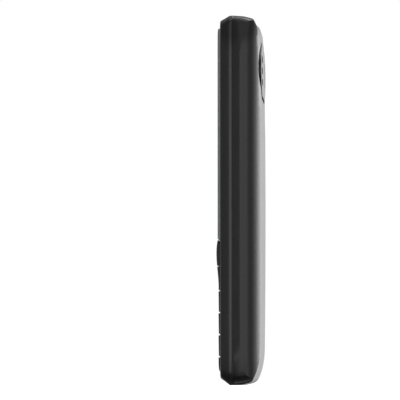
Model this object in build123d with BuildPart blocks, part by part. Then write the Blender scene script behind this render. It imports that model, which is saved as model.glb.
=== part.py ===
"""Keypad mobile phone: a one-piece bar body with a display lens, a navigation pad,
a four-row number pad and a wrap-around rear cover over the battery.

Frame: the phone stands on its bottom end. +Z runs up its length, +X to the user's
right, and the front faces -Y. The origin is the centre of the whole phone's box.
"Depth" is a distance back from the foremost surface, the face of the navigation ring.
"""
from build123d import *
import os

os.makedirs("parts", exist_ok=True)

# ---------------------------------------------------------------- body form
body_length = 126.0
body_width = 54.0
corner_radius = 5.2         # corners of the outline seen from the front
end_arch = 1.8              # rise of the arched top and bottom ends
shoulder_room = 16.0        # the flanks begin to draw in this far from the ends
shoulder_drop = 0.3         # how far they have drawn in at the corners
face_depth = 1.25           # flat front face of the front housing
facet_side_inset = 1.3      # slope of the front facet, at the flanks
facet_end_inset = 2.0       # and at the two ends
face_edge_radius = 0.7
rim_depth = 4.45            # the crease where the front facet meets the flank
seam_depth = 5.65           # parting line of front housing and rear cover
seam_gap = 0.18
pry_gap = 0.35              # wider seam at the top end, for a fingernail
pry_width = 44.0
crease_depth = 7.8          # where the flank turns into the rounded back
haunch_width = 9.0          # width of the rounded part, each side
haunch_rise = 0.15          # its top lies this much behind the flat of the back
back_crown = 0.35           # the back is this much fuller at mid-height
crown_room = 13.0           # the back bends in to the ends over this length
end_corner_depth = 12.6     # edge between the end walls and the bent-in back
end_corner_drop = 1.5
end_corner_radius = 0.8

# ---------------------------------------------------------------- walls and fits
front_wall = 1.2
cover_wall = 1.2
lip_gap = 0.2               # rear cover to the front housing's lip
lip_wall = 0.8
lip_rise = 1.75             # lip height behind the seam
lip_root = 2.0              # how far the lip runs down inside the front housing
fixed_gap = 0.1             # between pieces that do not move
key_gap = 0.4               # between two keys
key_edge_gap = 0.25         # between a key and the housing
key_travel = 0.3
dome_gap = 0.05             # pressed plunger to its dome
cover_travel_gap = 0.55     # rear cover to chassis and battery

# ---------------------------------------------------------------- display
lens_end_inset = 2.9        # lens to the top end of the phone
lens_depth = 0.45
lens_thickness = 1.0
lens_edge_inset = 0.5       # lens edge to the edge of the front face
lens_radius = 4.6
lens_chamfer = 0.25
tape_thickness = 0.15
tape_edge = 0.3             # tape edge to the lens edge
view_border = 3.6           # lens edge to the visible picture, at the sides
view_margin = 0.8           # housing window outside the visible picture
panel_border = 1.4          # glass outside the visible picture
panel_chin = 2.8            # more glass below, for the driver chip
panel_thickness = 1.35
tray_wall = 1.2
tray_corner = 0.6
tray_thickness = 2.3
rib_width = 0.8             # housing rib between the tray and the key opening

# ---------------------------------------------------------------- earpiece
receiver_width = 10.0
receiver_height = 5.4
receiver_thickness = 2.1
receiver_end_room = 2.0     # earpiece to the lens's upper edge
receiver_foot_room = 0.8    # earpiece to the tray
receiver_slot_width = 9.0
receiver_slot_height = 1.3
receiver_corner = 1.8
receiver_port_width = 7.0
receiver_port_sink = 0.7
mesh_width = 10.4
mesh_height = 2.4
mesh_thickness = 0.15

# ---------------------------------------------------------------- keys
keypad_length = 31.9        # bottom end to the upper edge of the number keys
nav_length = 17.5           # upper edge of the number keys to the lens
key_rows = 4
arch_cut = 1.62             # the arched end takes this much off the last row
key_columns = 3
field_margin = 1.0          # key field to the edge of the front face
field_end_margin = 1.6
field_radius = 3.2
key_face_depth = 0.75
key_tilt = 0.9              # degrees: the upper edge of a key stands prouder
key_edge_radius = 0.3
key_corner_radius = 0.6
cap_back_depth = 2.35
plunger_radius = 1.6
nav_bar = 1.0               # housing bar under the upper edge of the soft keys
nav_overhang_depth = 0.85
nav_lip_depth = 0.42        # the navigation keys' swelling front: depth at the lens,
nav_crest_drop = 3.75       # and depth at the fullest place, this far below the lens,
nav_crest_depth = 0.02
nav_fall_rise = 7.1         # and at a place this far above the number keys
nav_fall_depth = 0.38
side_plunger_rise = 4.2
ring_head_margin = 1.35     # ring to the lens
ring_foot_margin = 1.1      # ring to the number keys
ring_inner = 4.0
ring_depth = 0.0
ring_edge_radius = 0.55
ring_inner_radius = 0.3
ring_plunger_radius = 0.9
ok_depth = 0.35
mat_depth = 2.95
mat_thickness = 0.45
mat_post_radius = 0.6
dome_height = 0.25
dome_radius = 2.4
ring_dome_radius = 1.1
dome_narrowing = 0.5        # top of a dome as a share of its foot
dome_film = 0.1
led_width = 1.6
led_height = 0.8
led_rise = 0.5

# ---------------------------------------------------------------- board and chassis
board_gap = 0.25
board_thickness = 1.0
board_inset = 2.5
component_room = 1.9
floor_thickness = 0.8
chassis_inset = 1.75
chassis_skin = 1.0
chassis_skirt_inset = 2.35
battery_side_room = 8.0     # battery to the flanks
battery_foot_room = 13.0    # battery to the bottom end
battery_thickness = 4.6
battery_radius = 1.2
battery_gap = 0.3
battery_edge_radius = 0.8
boss_radius = 1.8
boss_front = 3.7            # the bosses on the flanks start behind the keymat
column_radius = 2.6         # chassis column round a screw head
pilot_radius = 0.6
screw_radius = 0.55
screw_head_radius = 1.3
screw_head_height = 0.6
screw_slot_width = 0.3
screw_slot_length = 1.8
screw_seat = 1.2            # chassis thickness under a screw head
screw_bite = 2.2            # screw length in the front housing's boss
top_screw_x = 9.2
top_screw_room = 6.6        # screws to the top end,
low_screw_room = 14.0       # to the bottom end
side_screw_room = 4.8       # and to the flanks
middle_screw_rise = 13.1    # middle pair above the number keys
hook_width = 5.0
hook_end_room = 25.0        # outer hooks to the two ends
hook_reach = 0.85
hook_thickness = 0.9
hook_set_back = 0.5         # hook to the cover's front edge
can_height = 1.7
can_wall = 0.2
can_radius = 0.8
radio_can_width = 32.0
processor_can_width = 26.0
can_end_room = 6.25         # shield cans to the battery's two ends
can_gap = 5.5
connector_width = 9.0
connector_length = 2.6
connector_rise = 4.4
blade_pitch = 2.6
blade_width = 1.2
blade_thickness = 0.2
blade_foot = 1.0            # leg of a blade in its block, and its distance from the block's ends
antenna_width = 34.0
antenna_reach = 10.5        # film up from the level of the bottom end
antenna_front = 8.4
antenna_thickness = 0.15
motor_side_room = 9.8       # motor's axis to the flank
motor_end_room = 9.0        # and to the top end
motor_radius = 4.0
motor_thickness = 2.7
microphone_x = -12.0
microphone_end_room = 6.4
microphone_radius = 2.0
microphone_height = 1.2

# ---------------------------------------------------------------- rear island
island_height = 0.35        # island face behind the fullest part of the back
island_end_room = 20.6      # middle of the island to the top end
island_side_room = 8.0
island_length = 17.2
island_edge_radius = 0.2
moat_width = 1.3
moat_depth = 0.55
camera_inset = 9.5          # camera's axis to the island's end
camera_side = 8.5
camera_depth = 8.6
camera_barrel_radius = 3.0
camera_barrel_rise = 1.2
camera_pupil_radius = 1.5
camera_cone = 30            # degrees
window_radius = 4.2
window_thickness = 0.6
window_ledge = 0.8
speaker_inset = 9.5         # middle of the speaker to the island's other end
speaker_width = 11.0
speaker_length = 13.6
speaker_thickness = 2.9
speaker_rim = 1.0
speaker_corner = 1.0
speaker_sink = 0.3
gasket_thickness = 0.35
slot_pitch = 3.9
slot_height = 2.5
slot_width = 8.0
slot_count = 3

# ---------------------------------------------------------------- sockets
jack_side_room = 8.0        # jack's axis to the flank
jack_radius = 1.78
jack_length = 14.0
jack_side = 5.6
jack_barrel = 2.5
jack_barrel_length = 3.0
jack_back_wall = 0.6
socket_gap = 0.35           # socket to the hole in the cover
usb_width = 7.5
usb_height = 2.5
usb_length = 5.6
usb_wall = 0.3
usb_corner = 0.7
usb_tab = 0.9
sim_width = 17.0
sim_length = 11.0
sim_height = 1.5
sim_x = 9.2
card_slot = 0.9
card_width = 14.0
card_length = 9.4
card_gap = 0.6
bay_head_room = 1.2         # card bay to the island

# ---------------------------------------------------------------- derived stations
half_width = body_width / 2
half_length = body_length / 2
shoulder_start = half_length - shoulder_room
crown_reach = half_length - crown_room

# depths, from front to back
inner_face = face_depth + front_wall
tray_depth = inner_face + fixed_gap
board_front = tray_depth + tray_thickness + board_gap
board_back = board_front + board_thickness
floor_front = board_back + component_room
floor_back = floor_front + floor_thickness
battery_depth = floor_back + fixed_gap
back_depth = battery_depth + battery_thickness + cover_travel_gap + cover_wall
island_depth = back_depth + island_height
overall_depth = island_depth - ring_depth
cover_front = seam_depth + seam_gap
hook_front = cover_front + hook_set_back
lip_inset = cover_wall + lip_gap
lip_back = seam_depth + lip_rise
chassis_shoulder = lip_back + fixed_gap / 2
chassis_front = board_back + fixed_gap / 2
dome_depth = board_front - dome_film - dome_height
plunger_depth = dome_depth - dome_gap - key_travel

# inside and front face of the front housing
facet_share = (rim_depth - inner_face) / (rim_depth - face_depth)
inner_half_width = half_width - facet_side_inset * facet_share - front_wall
inner_half_length = half_length - facet_end_inset * facet_share - front_wall
face_half_width = half_width - facet_side_inset
face_half_length = half_length - facet_end_inset
end_corner_height = half_length - end_corner_drop

# heights on the front, from the bottom end up: number keys, navigation keys, lens
keypad_top = keypad_length - half_length
field_foot = face_half_length - field_end_margin
key_pitch = (keypad_top + field_foot + arch_cut) / key_rows
lens_bottom = keypad_top + nav_length
lens_top = half_length - lens_end_inset
nav_top = lens_bottom - key_edge_gap
opening_top = nav_top - nav_bar
field_half_width = face_half_width - field_margin
column_pitch = (2 * field_half_width + key_gap) / key_columns
ring_outer = (nav_top - keypad_top - ring_head_margin - ring_foot_margin) / 2
ring_centre = keypad_top + ring_foot_margin + ring_outer
ring_plunger_orbit = (ring_inner + ring_outer) / 2
ok_radius = ring_inner - key_gap
side_plunger_x = (ring_outer + field_half_width) / 2

# the display fills the lens between the earpiece and the rib over the keys
lens_half_width = face_half_width - lens_edge_inset
receiver_centre = lens_top - receiver_end_room - receiver_height / 2
tray_top = receiver_centre - receiver_height / 2 - receiver_foot_room
panel_top = tray_top - tray_wall
view_top = panel_top - panel_border
rib_bottom = opening_top + key_edge_gap
rib_top = rib_bottom + rib_width
tray_bottom = rib_top + fixed_gap
panel_bottom = tray_bottom + tray_wall
view_bottom = panel_bottom + panel_chin + panel_border
view_width = 2 * (lens_half_width - view_border)
view_height = view_top - view_bottom
view_centre = (view_top + view_bottom) / 2
panel_width = view_width + 2 * panel_border
tray_width = panel_width + 2 * tray_wall

# places on the back: island, card bay, battery
island_centre = half_length - island_end_room
island_width = body_width - 2 * island_side_room
camera_x = camera_inset - island_width / 2
speaker_x = island_width / 2 - speaker_inset
moat_floor = back_depth - back_crown - moat_depth
window_back = island_depth - window_thickness - fixed_gap
mesh_back = back_depth - cover_wall - back_crown
speaker_depth = mesh_back - mesh_thickness - fixed_gap * 2 - gasket_thickness - speaker_thickness
camera_back = mesh_back - battery_gap
card_room = sim_length + card_length + connector_length + 2 * card_gap + card_slot
bay_length = card_room + battery_gap
bay_top = island_centre - island_length / 2 - bay_head_room
bay_bottom = bay_top - bay_length
bay_centre = (bay_top + bay_bottom) / 2
connector_bottom = bay_bottom - battery_gap
battery_top = connector_bottom - battery_gap - chassis_skin
battery_bottom = battery_foot_room - half_length
battery_length = battery_top - battery_bottom
battery_centre = (battery_top + battery_bottom) / 2
battery_width = body_width - 2 * battery_side_room
tub_width = battery_width + 2 * battery_gap
tub_length = battery_length + 2 * battery_gap
sim_centre = connector_bottom + connector_length + card_gap + sim_length / 2
card_centre = sim_centre + sim_length / 2 + card_gap + card_length / 2
can_length = (battery_length - 2 * can_end_room - can_gap) / 2
can_offset = (can_length + can_gap) / 2

# places at the ends and flanks: sockets, motor, microphone, hooks, screws
socket_line = half_length - end_corner_drop - cover_wall - battery_gap
jack_x = half_width - jack_side_room
jack_mouth = socket_line
jack_depth = board_back + jack_side / 2 + fixed_gap
jack_room = jack_length + jack_back_wall + battery_gap
usb_mouth = -socket_line
usb_depth = board_back + usb_height / 2 + fixed_gap / 2
motor_place = (motor_side_room - half_width, half_length - motor_end_room)
microphone_place = (microphone_x, microphone_end_room - half_length)
groove_inset = cover_wall + hook_reach + battery_gap
hook_heights = (hook_end_room - half_length, 0, half_length - hook_end_room)
screw_head_back = chassis_front + screw_seat + screw_head_height
side_screw_x = half_width - side_screw_room
side_screw_heights = (keypad_top + middle_screw_rise, low_screw_room - half_length)
screw_places = [(-top_screw_x, half_length - top_screw_room), (top_screw_x, half_length - top_screw_room)]
for height in side_screw_heights:
    screw_places += [(-side_screw_x, height), (side_screw_x, height)]


def across(depth):
    """Y coordinate of a depth behind the foremost surface."""
    return depth - overall_depth / 2


def depth_plane(depth):
    """Plane facing the front of the phone, at a depth. Its local axes are X and Z."""
    return Plane.XZ.offset(overall_depth / 2 - depth)


def outline(width, length, radius):
    """Front-view outline of half width and half length: straight flanks that draw in
    near the ends, arched ends and round corners."""
    corner = (width - shoulder_drop, length - end_arch)
    with BuildSketch() as shape:
        with BuildLine():
            flank = Line((width, 0), (width, shoulder_start))
            TangentArc(flank @ 1, corner, tangent=flank % 1)
            TangentArc((0, length), corner, tangent=(1, 0))
            mirror(about=Plane.YZ)
            mirror(about=Plane.XZ)
        make_face()
        corners = shape.vertices().filter_by(lambda v: abs(abs(v.Y) - corner[1]) < 0.01)
        fillet(corners, radius)
    return shape.sketch


def inset_outline(inset):
    """The body outline, moved inwards."""
    return outline(half_width - inset, half_length - inset, corner_radius - inset)


def girth_block(inset):
    """Bar with the body's cross-section: flat flanks and a back rounded into them."""
    reach = overall_depth
    rounding = back_depth + haunch_rise - crease_depth
    with BuildPart() as block:
        with BuildSketch(Plane.XY.offset(-body_length)):
            with BuildLine():
                flank = Line((half_width - inset, -reach), (half_width - inset, across(crease_depth)))
                haunch = EllipticalCenterArc(
                    (half_width - haunch_width, across(crease_depth)),
                    haunch_width - inset,
                    rounding - inset,
                    start_angle=0,
                    arc_size=90,
                )
                Line(haunch @ 1, (0, (haunch @ 1).Y))
                Line(flank @ 0, (0, -reach))
                mirror(about=Plane.YZ)
            make_face()
        extrude(amount=2 * body_length)
    return block.part


def profile_block(inset):
    """Slab with the body's side profile: a crowned back that bends in to the end walls."""
    reach = overall_depth
    with BuildPart() as block:
        with BuildSketch(Plane.YZ.offset(-body_width)) as profile:
            with BuildLine():
                crown = ThreePointArc(
                    (across(back_depth - back_crown), crown_reach),
                    (across(back_depth), 0),
                    (across(back_depth - back_crown), -crown_reach),
                )
                top_corner = (across(end_corner_depth), end_corner_height)
                bottom_corner = (across(end_corner_depth), -end_corner_height)
                TangentArc(crown @ 0, top_corner, tangent=(crown % 0) * -1)
                TangentArc(crown @ 1, bottom_corner, tangent=crown % 1)
                TangentArc((across(seam_depth), half_length), top_corner, tangent=(1, 0))
                Line((across(rim_depth), -half_length), bottom_corner)
                Polyline(
                    (across(seam_depth), half_length),
                    (-reach, half_length),
                    (-reach, -half_length),
                    (across(rim_depth), -half_length),
                )
            make_face()
            if inset > 0:
                offset(amount=-inset, kind=Kind.INTERSECTION)
            corners = profile.vertices().filter_by(
                lambda v: v.X > across(crease_depth) and abs(v.Y) > crown_reach + end_corner_drop + inset
            )
            fillet(corners, end_corner_radius)
        extrude(amount=2 * body_width)
    return block.part


def body_form(inset, front):
    """The rear body's rounded form, moved inwards, from a depth to the back."""
    with BuildPart() as form:
        with BuildSketch(depth_plane(back_depth + island_height)):
            add(inset_outline(inset))
        extrude(amount=back_depth + island_height - front)
        add(girth_block(inset), mode=Mode.INTERSECT)
        add(profile_block(inset), mode=Mode.INTERSECT)
    return form.part


def lens_outline(gap):
    """Display lens seen from the front, grown by a gap: its top follows the arched end."""
    with BuildSketch() as shape:
        add(outline(lens_half_width + gap, lens_top + gap, lens_radius))
        with Locations((0, lens_bottom - gap)):
            Rectangle(body_width, body_length, align=(Align.CENTER, Align.MIN), mode=Mode.INTERSECT)
    return shape.sketch


def key_field(top, gap):
    """Field of all the keys below a height, grown by a gap: its foot follows the arched end."""
    with BuildSketch() as shape:
        add(outline(field_half_width + gap, field_foot + gap, field_radius))
        with Locations((0, top)):
            Rectangle(body_width, body_length, align=(Align.CENTER, Align.MAX), mode=Mode.INTERSECT)
    return shape.sketch


def pill(width, length):
    """Round-ended island outline about its own centre on the back."""
    with BuildSketch() as shape:
        with Locations((0, island_centre)):
            SlotOverall(width, length)
    return shape.sketch


def finish(builder, name):
    """Label a finished piece and write its file."""
    builder.part.label = name
    export_step(builder.part, "parts/" + name + ".step")


# ================================================================ front housing
# Moulded shell: sloping facet all round, window, key opening, a lip for the rear cover
# and bosses for the chassis screws.
with BuildPart() as lip:
    with BuildSketch(depth_plane(lip_back)):
        add(inset_outline(lip_inset))
        add(inset_outline(lip_inset + lip_wall), mode=Mode.SUBTRACT)
    extrude(amount=lip_rise + fixed_gap)
    add(profile_block(lip_inset), mode=Mode.INTERSECT)

with BuildPart() as front_housing:
    with BuildSketch(depth_plane(rim_depth)):
        add(inset_outline(0))
    with BuildSketch(depth_plane(face_depth)):
        add(outline(face_half_width, face_half_length, corner_radius - facet_side_inset))
    loft()
    fillet(front_housing.faces().sort_by(Axis.Y)[0].edges(), face_edge_radius)
    with BuildSketch(depth_plane(seam_depth)):
        add(inset_outline(0))
    extrude(amount=seam_depth - rim_depth)
    # hollow inside, with an even wall behind the sloping facet
    with BuildSketch(depth_plane(rim_depth)):
        add(inset_outline(front_wall))
    with BuildSketch(depth_plane(inner_face)):
        add(outline(inner_half_width, inner_half_length, corner_radius - front_wall))
    loft(mode=Mode.SUBTRACT)
    with BuildSketch(depth_plane(seam_depth)):
        add(inset_outline(front_wall))
    extrude(amount=seam_depth - rim_depth, mode=Mode.SUBTRACT)
    # root of the lip, then the lip itself
    with BuildSketch(depth_plane(seam_depth)):
        add(inset_outline(front_wall - fixed_gap))
        add(inset_outline(lip_inset + lip_wall), mode=Mode.SUBTRACT)
    extrude(amount=lip_root)
    add(lip.part)
    # lens recess, picture window, earpiece slot and key opening
    with BuildSketch(depth_plane(lens_depth + lens_thickness + tape_thickness)):
        add(lens_outline(fixed_gap))
    extrude(amount=overall_depth, mode=Mode.SUBTRACT)
    with BuildSketch(depth_plane(rim_depth)):
        with Locations((0, view_centre)):
            RectangleRounded(view_width + 2 * view_margin, view_height + 2 * view_margin, view_margin)
        with Locations((0, receiver_centre)):
            SlotOverall(receiver_slot_width, receiver_slot_height)
        add(key_field(opening_top, key_edge_gap))
    extrude(amount=overall_depth, mode=Mode.SUBTRACT)
    # rib that locates the lower edge of the display
    with BuildSketch(depth_plane(tray_depth + tray_thickness)):
        with Locations((0, rib_top)):
            Rectangle(tray_width, rib_top - rib_bottom, align=(Align.CENTER, Align.MAX))
    extrude(amount=tray_thickness + 2 * fixed_gap)
    # screw bosses: two on the front wall, four tied to the flanks
    with BuildSketch(depth_plane(board_back)):
        with Locations(*screw_places[:2]):
            Circle(boss_radius)
    extrude(amount=board_back - inner_face + fixed_gap)
    for place_x, place_z in screw_places[2:]:
        wall_x = half_width - lip_inset - lip_wall / 2
        if place_x < 0:
            wall_x = -wall_x
        with BuildSketch(depth_plane(board_back)):
            with Locations((place_x, place_z)):
                Circle(boss_radius)
            with Locations(((place_x + wall_x) / 2, place_z)):
                Rectangle(abs(wall_x - place_x), boss_radius)
        extrude(amount=board_back - boss_front)
    with BuildSketch(depth_plane(board_back)):
        with Locations(*screw_places):
            Circle(pilot_radius)
    extrude(amount=screw_bite + fixed_gap, mode=Mode.SUBTRACT)
    # notches in the lip: cover hooks, headphone jack and USB socket
    with BuildSketch(depth_plane(lip_back)):
        for side in (-1, 1):
            for height in hook_heights:
                with Locations((side * (half_width - lip_inset - lip_wall / 2), height)):
                    Rectangle(2 * lip_wall, hook_width + 2 * battery_gap)
        with Locations((jack_x, half_length)):
            Rectangle(2 * (jack_barrel + socket_gap), 2 * (half_length - jack_mouth + end_arch))
        with Locations((0, -half_length)):
            Rectangle(usb_width + 2 * socket_gap, 2 * (half_length + usb_mouth + end_arch))
    extrude(amount=lip_rise - fixed_gap, mode=Mode.SUBTRACT)
finish(front_housing, "front_housing")

# ================================================================ display
# Clear moulded lens, stuck into the front housing's recess by a ring of black tape.
with BuildPart() as display_lens:
    with BuildSketch(depth_plane(lens_depth + lens_thickness)):
        add(lens_outline(0))
        with Locations((0, receiver_centre)):
            SlotOverall(receiver_slot_width, receiver_slot_height, mode=Mode.SUBTRACT)
    extrude(amount=lens_thickness)
    lens_rim = display_lens.faces().sort_by(Axis.Y)[0].outer_wire().edges()
    chamfer(lens_rim, lens_chamfer)
finish(display_lens, "display_lens")

with BuildPart() as lens_tape:
    with BuildSketch(depth_plane(lens_depth + lens_thickness + tape_thickness)):
        add(lens_outline(-tape_edge))
        with Locations((0, view_centre)):
            RectangleRounded(view_width + 2 * view_margin, view_height + 2 * view_margin,
                             view_margin, mode=Mode.SUBTRACT)
        with Locations((0, receiver_centre)):
            SlotOverall(mesh_width + 2 * fixed_gap, mesh_height + 2 * fixed_gap, mode=Mode.SUBTRACT)
    extrude(amount=tape_thickness)
finish(lens_tape, "lens_tape")

with BuildPart() as earpiece_mesh:
    with BuildSketch(depth_plane(lens_depth + lens_thickness + mesh_thickness)):
        with Locations((0, receiver_centre)):
            SlotOverall(mesh_width, mesh_height)
    extrude(amount=mesh_thickness)
finish(earpiece_mesh, "earpiece_mesh")

with BuildPart() as earpiece:
    with BuildSketch(depth_plane(inner_face + fixed_gap + receiver_thickness)):
        with Locations((0, receiver_centre)):
            RectangleRounded(receiver_width, receiver_height, receiver_corner)
    extrude(amount=receiver_thickness)
    with BuildSketch(depth_plane(inner_face + fixed_gap)):
        with Locations((0, receiver_centre)):
            SlotOverall(receiver_port_width, receiver_slot_height)
    extrude(amount=-receiver_port_sink, mode=Mode.SUBTRACT)
finish(earpiece, "earpiece")

# The glass panel lies in a folded tray with its backlight behind it.
with BuildPart() as display_tray:
    with BuildSketch(depth_plane(tray_depth + tray_thickness)):
        with Locations((0, (tray_top + tray_bottom) / 2)):
            Rectangle(tray_width, tray_top - tray_bottom)
    extrude(amount=tray_thickness)
    fillet(display_tray.edges().filter_by(Axis.Y), tray_corner)
    with BuildSketch(depth_plane(tray_depth)):
        with Locations((0, (panel_top + panel_bottom) / 2)):
            Rectangle(panel_width + fixed_gap, panel_top - panel_bottom + fixed_gap)
    extrude(amount=-panel_thickness - fixed_gap / 2, mode=Mode.SUBTRACT)
finish(display_tray, "display_tray")

with BuildPart() as display_panel:
    with BuildSketch(depth_plane(tray_depth + panel_thickness)):
        with Locations((0, (panel_top + panel_bottom) / 2)):
            Rectangle(panel_width, panel_top - panel_bottom)
    extrude(amount=panel_thickness)
finish(display_panel, "display_panel")

# ================================================================ number keys
# Twelve moulded caps, each with its own plunger over a metal dome.
key_names = ["key_1", "key_2", "key_3", "key_4", "key_5", "key_6",
             "key_7", "key_8", "key_9", "key_star", "key_0", "key_hash"]
number_places = []
for row in range(key_rows):
    for column in range(key_columns):
        cell_x = (column - (key_columns - 1) / 2) * column_pitch
        cell_top = keypad_top - row * key_pitch
        cell_middle = cell_top - (key_pitch - key_gap) / 2
        number_places.append((cell_x, cell_middle))
for name, place in zip(key_names, number_places):
    face_plane = Plane(
        origin=(0, across(key_face_depth), place[1]),
        x_dir=(1, 0, 0),
        z_dir=Vector(0, -1, 0).rotate(Axis.X, key_tilt),
    )
    with BuildPart() as number_key:
        with BuildSketch(depth_plane(cap_back_depth)):
            with Locations(place):
                RectangleRounded(column_pitch - key_gap, key_pitch - key_gap, key_corner_radius)
            add(key_field(keypad_top, 0), mode=Mode.INTERSECT)
        extrude(amount=cap_back_depth)
        split(bisect_by=face_plane, keep=Keep.BOTTOM)
        fillet(number_key.faces().sort_by(Axis.Y)[0].edges(), key_edge_radius)
        with BuildSketch(depth_plane(plunger_depth)):
            with Locations(place):
                Circle(plunger_radius)
        extrude(amount=plunger_depth - cap_back_depth)
    finish(number_key, name)

# ================================================================ navigation keys
# Soft keys above, call and end keys below, all four cut away round the ring.
side_key_names = ["soft_key_left", "soft_key_right", "call_key", "end_key"]
side_key_places = []
for row_sign in (1, -1):
    for column_sign in (-1, 1):
        side_key_places.append((column_sign * side_plunger_x, ring_centre + row_sign * side_plunger_rise))


def bulge_block():
    """Bar whose front follows the swelling side profile of the navigation keys."""
    with BuildPart() as block:
        with BuildSketch(Plane.YZ.offset(-body_width)):
            with BuildLine():
                swell = Spline(
                    (across(nav_lip_depth), nav_top),
                    (across(nav_crest_depth), nav_top - nav_crest_drop),
                    (across(nav_fall_depth), keypad_top + nav_fall_rise),
                    (across(key_face_depth), keypad_top),
                )
                Polyline(swell @ 1, (across(rim_depth), (swell @ 1).Y),
                         (across(rim_depth), (swell @ 0).Y), swell @ 0)
            make_face()
        extrude(amount=2 * body_width)
    return block.part


nav_bulge = bulge_block()
for name, place in zip(side_key_names, side_key_places):
    upper = place[1] > ring_centre
    side = 1 if place[0] > 0 else -1
    key_top = nav_top if upper else ring_centre - key_gap / 2
    key_foot = ring_centre + key_gap / 2 if upper else keypad_top + key_gap
    body_top = opening_top - key_edge_gap if upper else key_top
    with BuildPart() as side_key:
        with BuildSketch(depth_plane(cap_back_depth)):
            with Locations((side * (key_gap + field_half_width) / 2, (body_top + key_foot) / 2)):
                Rectangle(field_half_width - key_gap, body_top - key_foot)
            with Locations((0, ring_centre)):
                Circle(ring_outer + key_gap, mode=Mode.SUBTRACT)
        extrude(amount=cap_back_depth)
        if upper:
            with BuildSketch(depth_plane(nav_overhang_depth)):
                with Locations((side * (key_gap + field_half_width) / 2, (key_top + key_foot) / 2)):
                    Rectangle(field_half_width - key_gap, key_top - key_foot)
                with Locations((0, ring_centre)):
                    Circle(ring_outer + key_gap, mode=Mode.SUBTRACT)
            extrude(amount=nav_overhang_depth)
        add(nav_bulge, mode=Mode.INTERSECT)
        with BuildSketch(depth_plane(plunger_depth)):
            with Locations(place):
                Circle(plunger_radius)
        extrude(amount=plunger_depth - cap_back_depth)
    finish(side_key, name)

# Bright ring that rocks over four domes, with the OK key inside it.
ring_axis = Axis((0, 0, ring_centre), (0, 1, 0))
with BuildPart() as navigation_ring:
    with BuildSketch(Plane.XY.offset(ring_centre)) as ring_section:
        with Locations(((ring_inner + ring_outer) / 2, (across(ring_depth) + across(cap_back_depth)) / 2)):
            Rectangle(ring_outer - ring_inner, cap_back_depth - ring_depth)
        front_corners = ring_section.vertices().group_by(Axis.Y)[0].sort_by(Axis.X)
        fillet(front_corners[0], ring_inner_radius)
        fillet(ring_section.vertices().group_by(Axis.Y)[0].sort_by(Axis.X)[-1], ring_edge_radius)
    revolve(axis=ring_axis)
    with BuildSketch(depth_plane(plunger_depth)):
        with Locations((0, ring_centre)):
            with PolarLocations(ring_plunger_orbit, 4):
                Circle(ring_plunger_radius)
    extrude(amount=plunger_depth - cap_back_depth)
finish(navigation_ring, "navigation_ring")

with BuildPart() as ok_key:
    with BuildSketch(depth_plane(cap_back_depth)):
        with Locations((0, ring_centre)):
            Circle(ok_radius)
    extrude(amount=cap_back_depth - ok_depth)
    fillet(ok_key.faces().sort_by(Axis.Y)[0].edges(), key_edge_radius)
    with BuildSketch(depth_plane(plunger_depth)):
        with Locations((0, ring_centre)):
            Circle(plunger_radius)
    extrude(amount=plunger_depth - cap_back_depth)
finish(ok_key, "ok_key")

# ================================================================ keypad layers
all_plungers = number_places + side_key_places + [(0, ring_centre)]
led_places = []
post_places = []
for column_side in (-1, 1):
    for row in range(0, key_rows, 2):
        led_places.append((column_side * column_pitch / 2, number_places[row * key_columns][1]))
    for row in range(1, key_rows):
        post_places.append((column_side * column_pitch / 2, keypad_top - row * key_pitch + key_gap / 2))

with BuildPart() as keymat:
    with BuildSketch(depth_plane(mat_depth + mat_thickness)):
        add(key_field(opening_top - key_edge_gap, 0))
        with Locations(*all_plungers):
            Circle(plunger_radius + key_gap, mode=Mode.SUBTRACT)
        with Locations((0, ring_centre)):
            with PolarLocations(ring_plunger_orbit, 4):
                Circle(ring_plunger_radius + key_gap, mode=Mode.SUBTRACT)
    extrude(amount=mat_thickness)
    with BuildSketch(depth_plane(board_front - dome_film)):
        with Locations(*post_places):
            Circle(mat_post_radius)
    extrude(amount=board_front - dome_film - mat_depth - mat_thickness)
finish(keymat, "keymat")

with BuildPart(depth_plane(board_front - dome_film)) as dome_sheet:
    with BuildSketch(depth_plane(board_front)):
        add(key_field(opening_top - key_edge_gap, -field_margin))
        with Locations(*screw_places[2:]):
            Circle(boss_radius + battery_gap, mode=Mode.SUBTRACT)
        with Locations(*led_places):
            Rectangle(led_width + battery_gap, led_height + battery_gap, mode=Mode.SUBTRACT)
    extrude(amount=dome_film)
    with Locations(*all_plungers):
        Cone(dome_radius, dome_radius * dome_narrowing, dome_height,
             align=(Align.CENTER, Align.CENTER, Align.MIN))
    with Locations((0, ring_centre)):
        with PolarLocations(ring_plunger_orbit, 4):
            Cone(ring_dome_radius, ring_dome_radius * dome_narrowing, dome_height,
                 align=(Align.CENTER, Align.CENTER, Align.MIN))
finish(dome_sheet, "dome_sheet")

with BuildPart() as keypad_leds:
    with BuildSketch(depth_plane(board_front)):
        with Locations(*led_places):
            Rectangle(led_width, led_height)
    extrude(amount=led_rise)
finish(keypad_leds, "keypad_leds")

# ================================================================ main board
with BuildPart() as main_board:
    with BuildSketch(depth_plane(board_back)):
        add(inset_outline(board_inset))
        with Locations(*screw_places):
            Circle(boss_radius + battery_gap, mode=Mode.SUBTRACT)
        for side in (-1, 1):
            for height in side_screw_heights:
                with Locations((side * half_width, height)):
                    Rectangle(2 * (half_width - side_screw_x), boss_radius + 2 * battery_gap,
                              mode=Mode.SUBTRACT)
    extrude(amount=board_thickness)
finish(main_board, "main_board")

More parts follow.
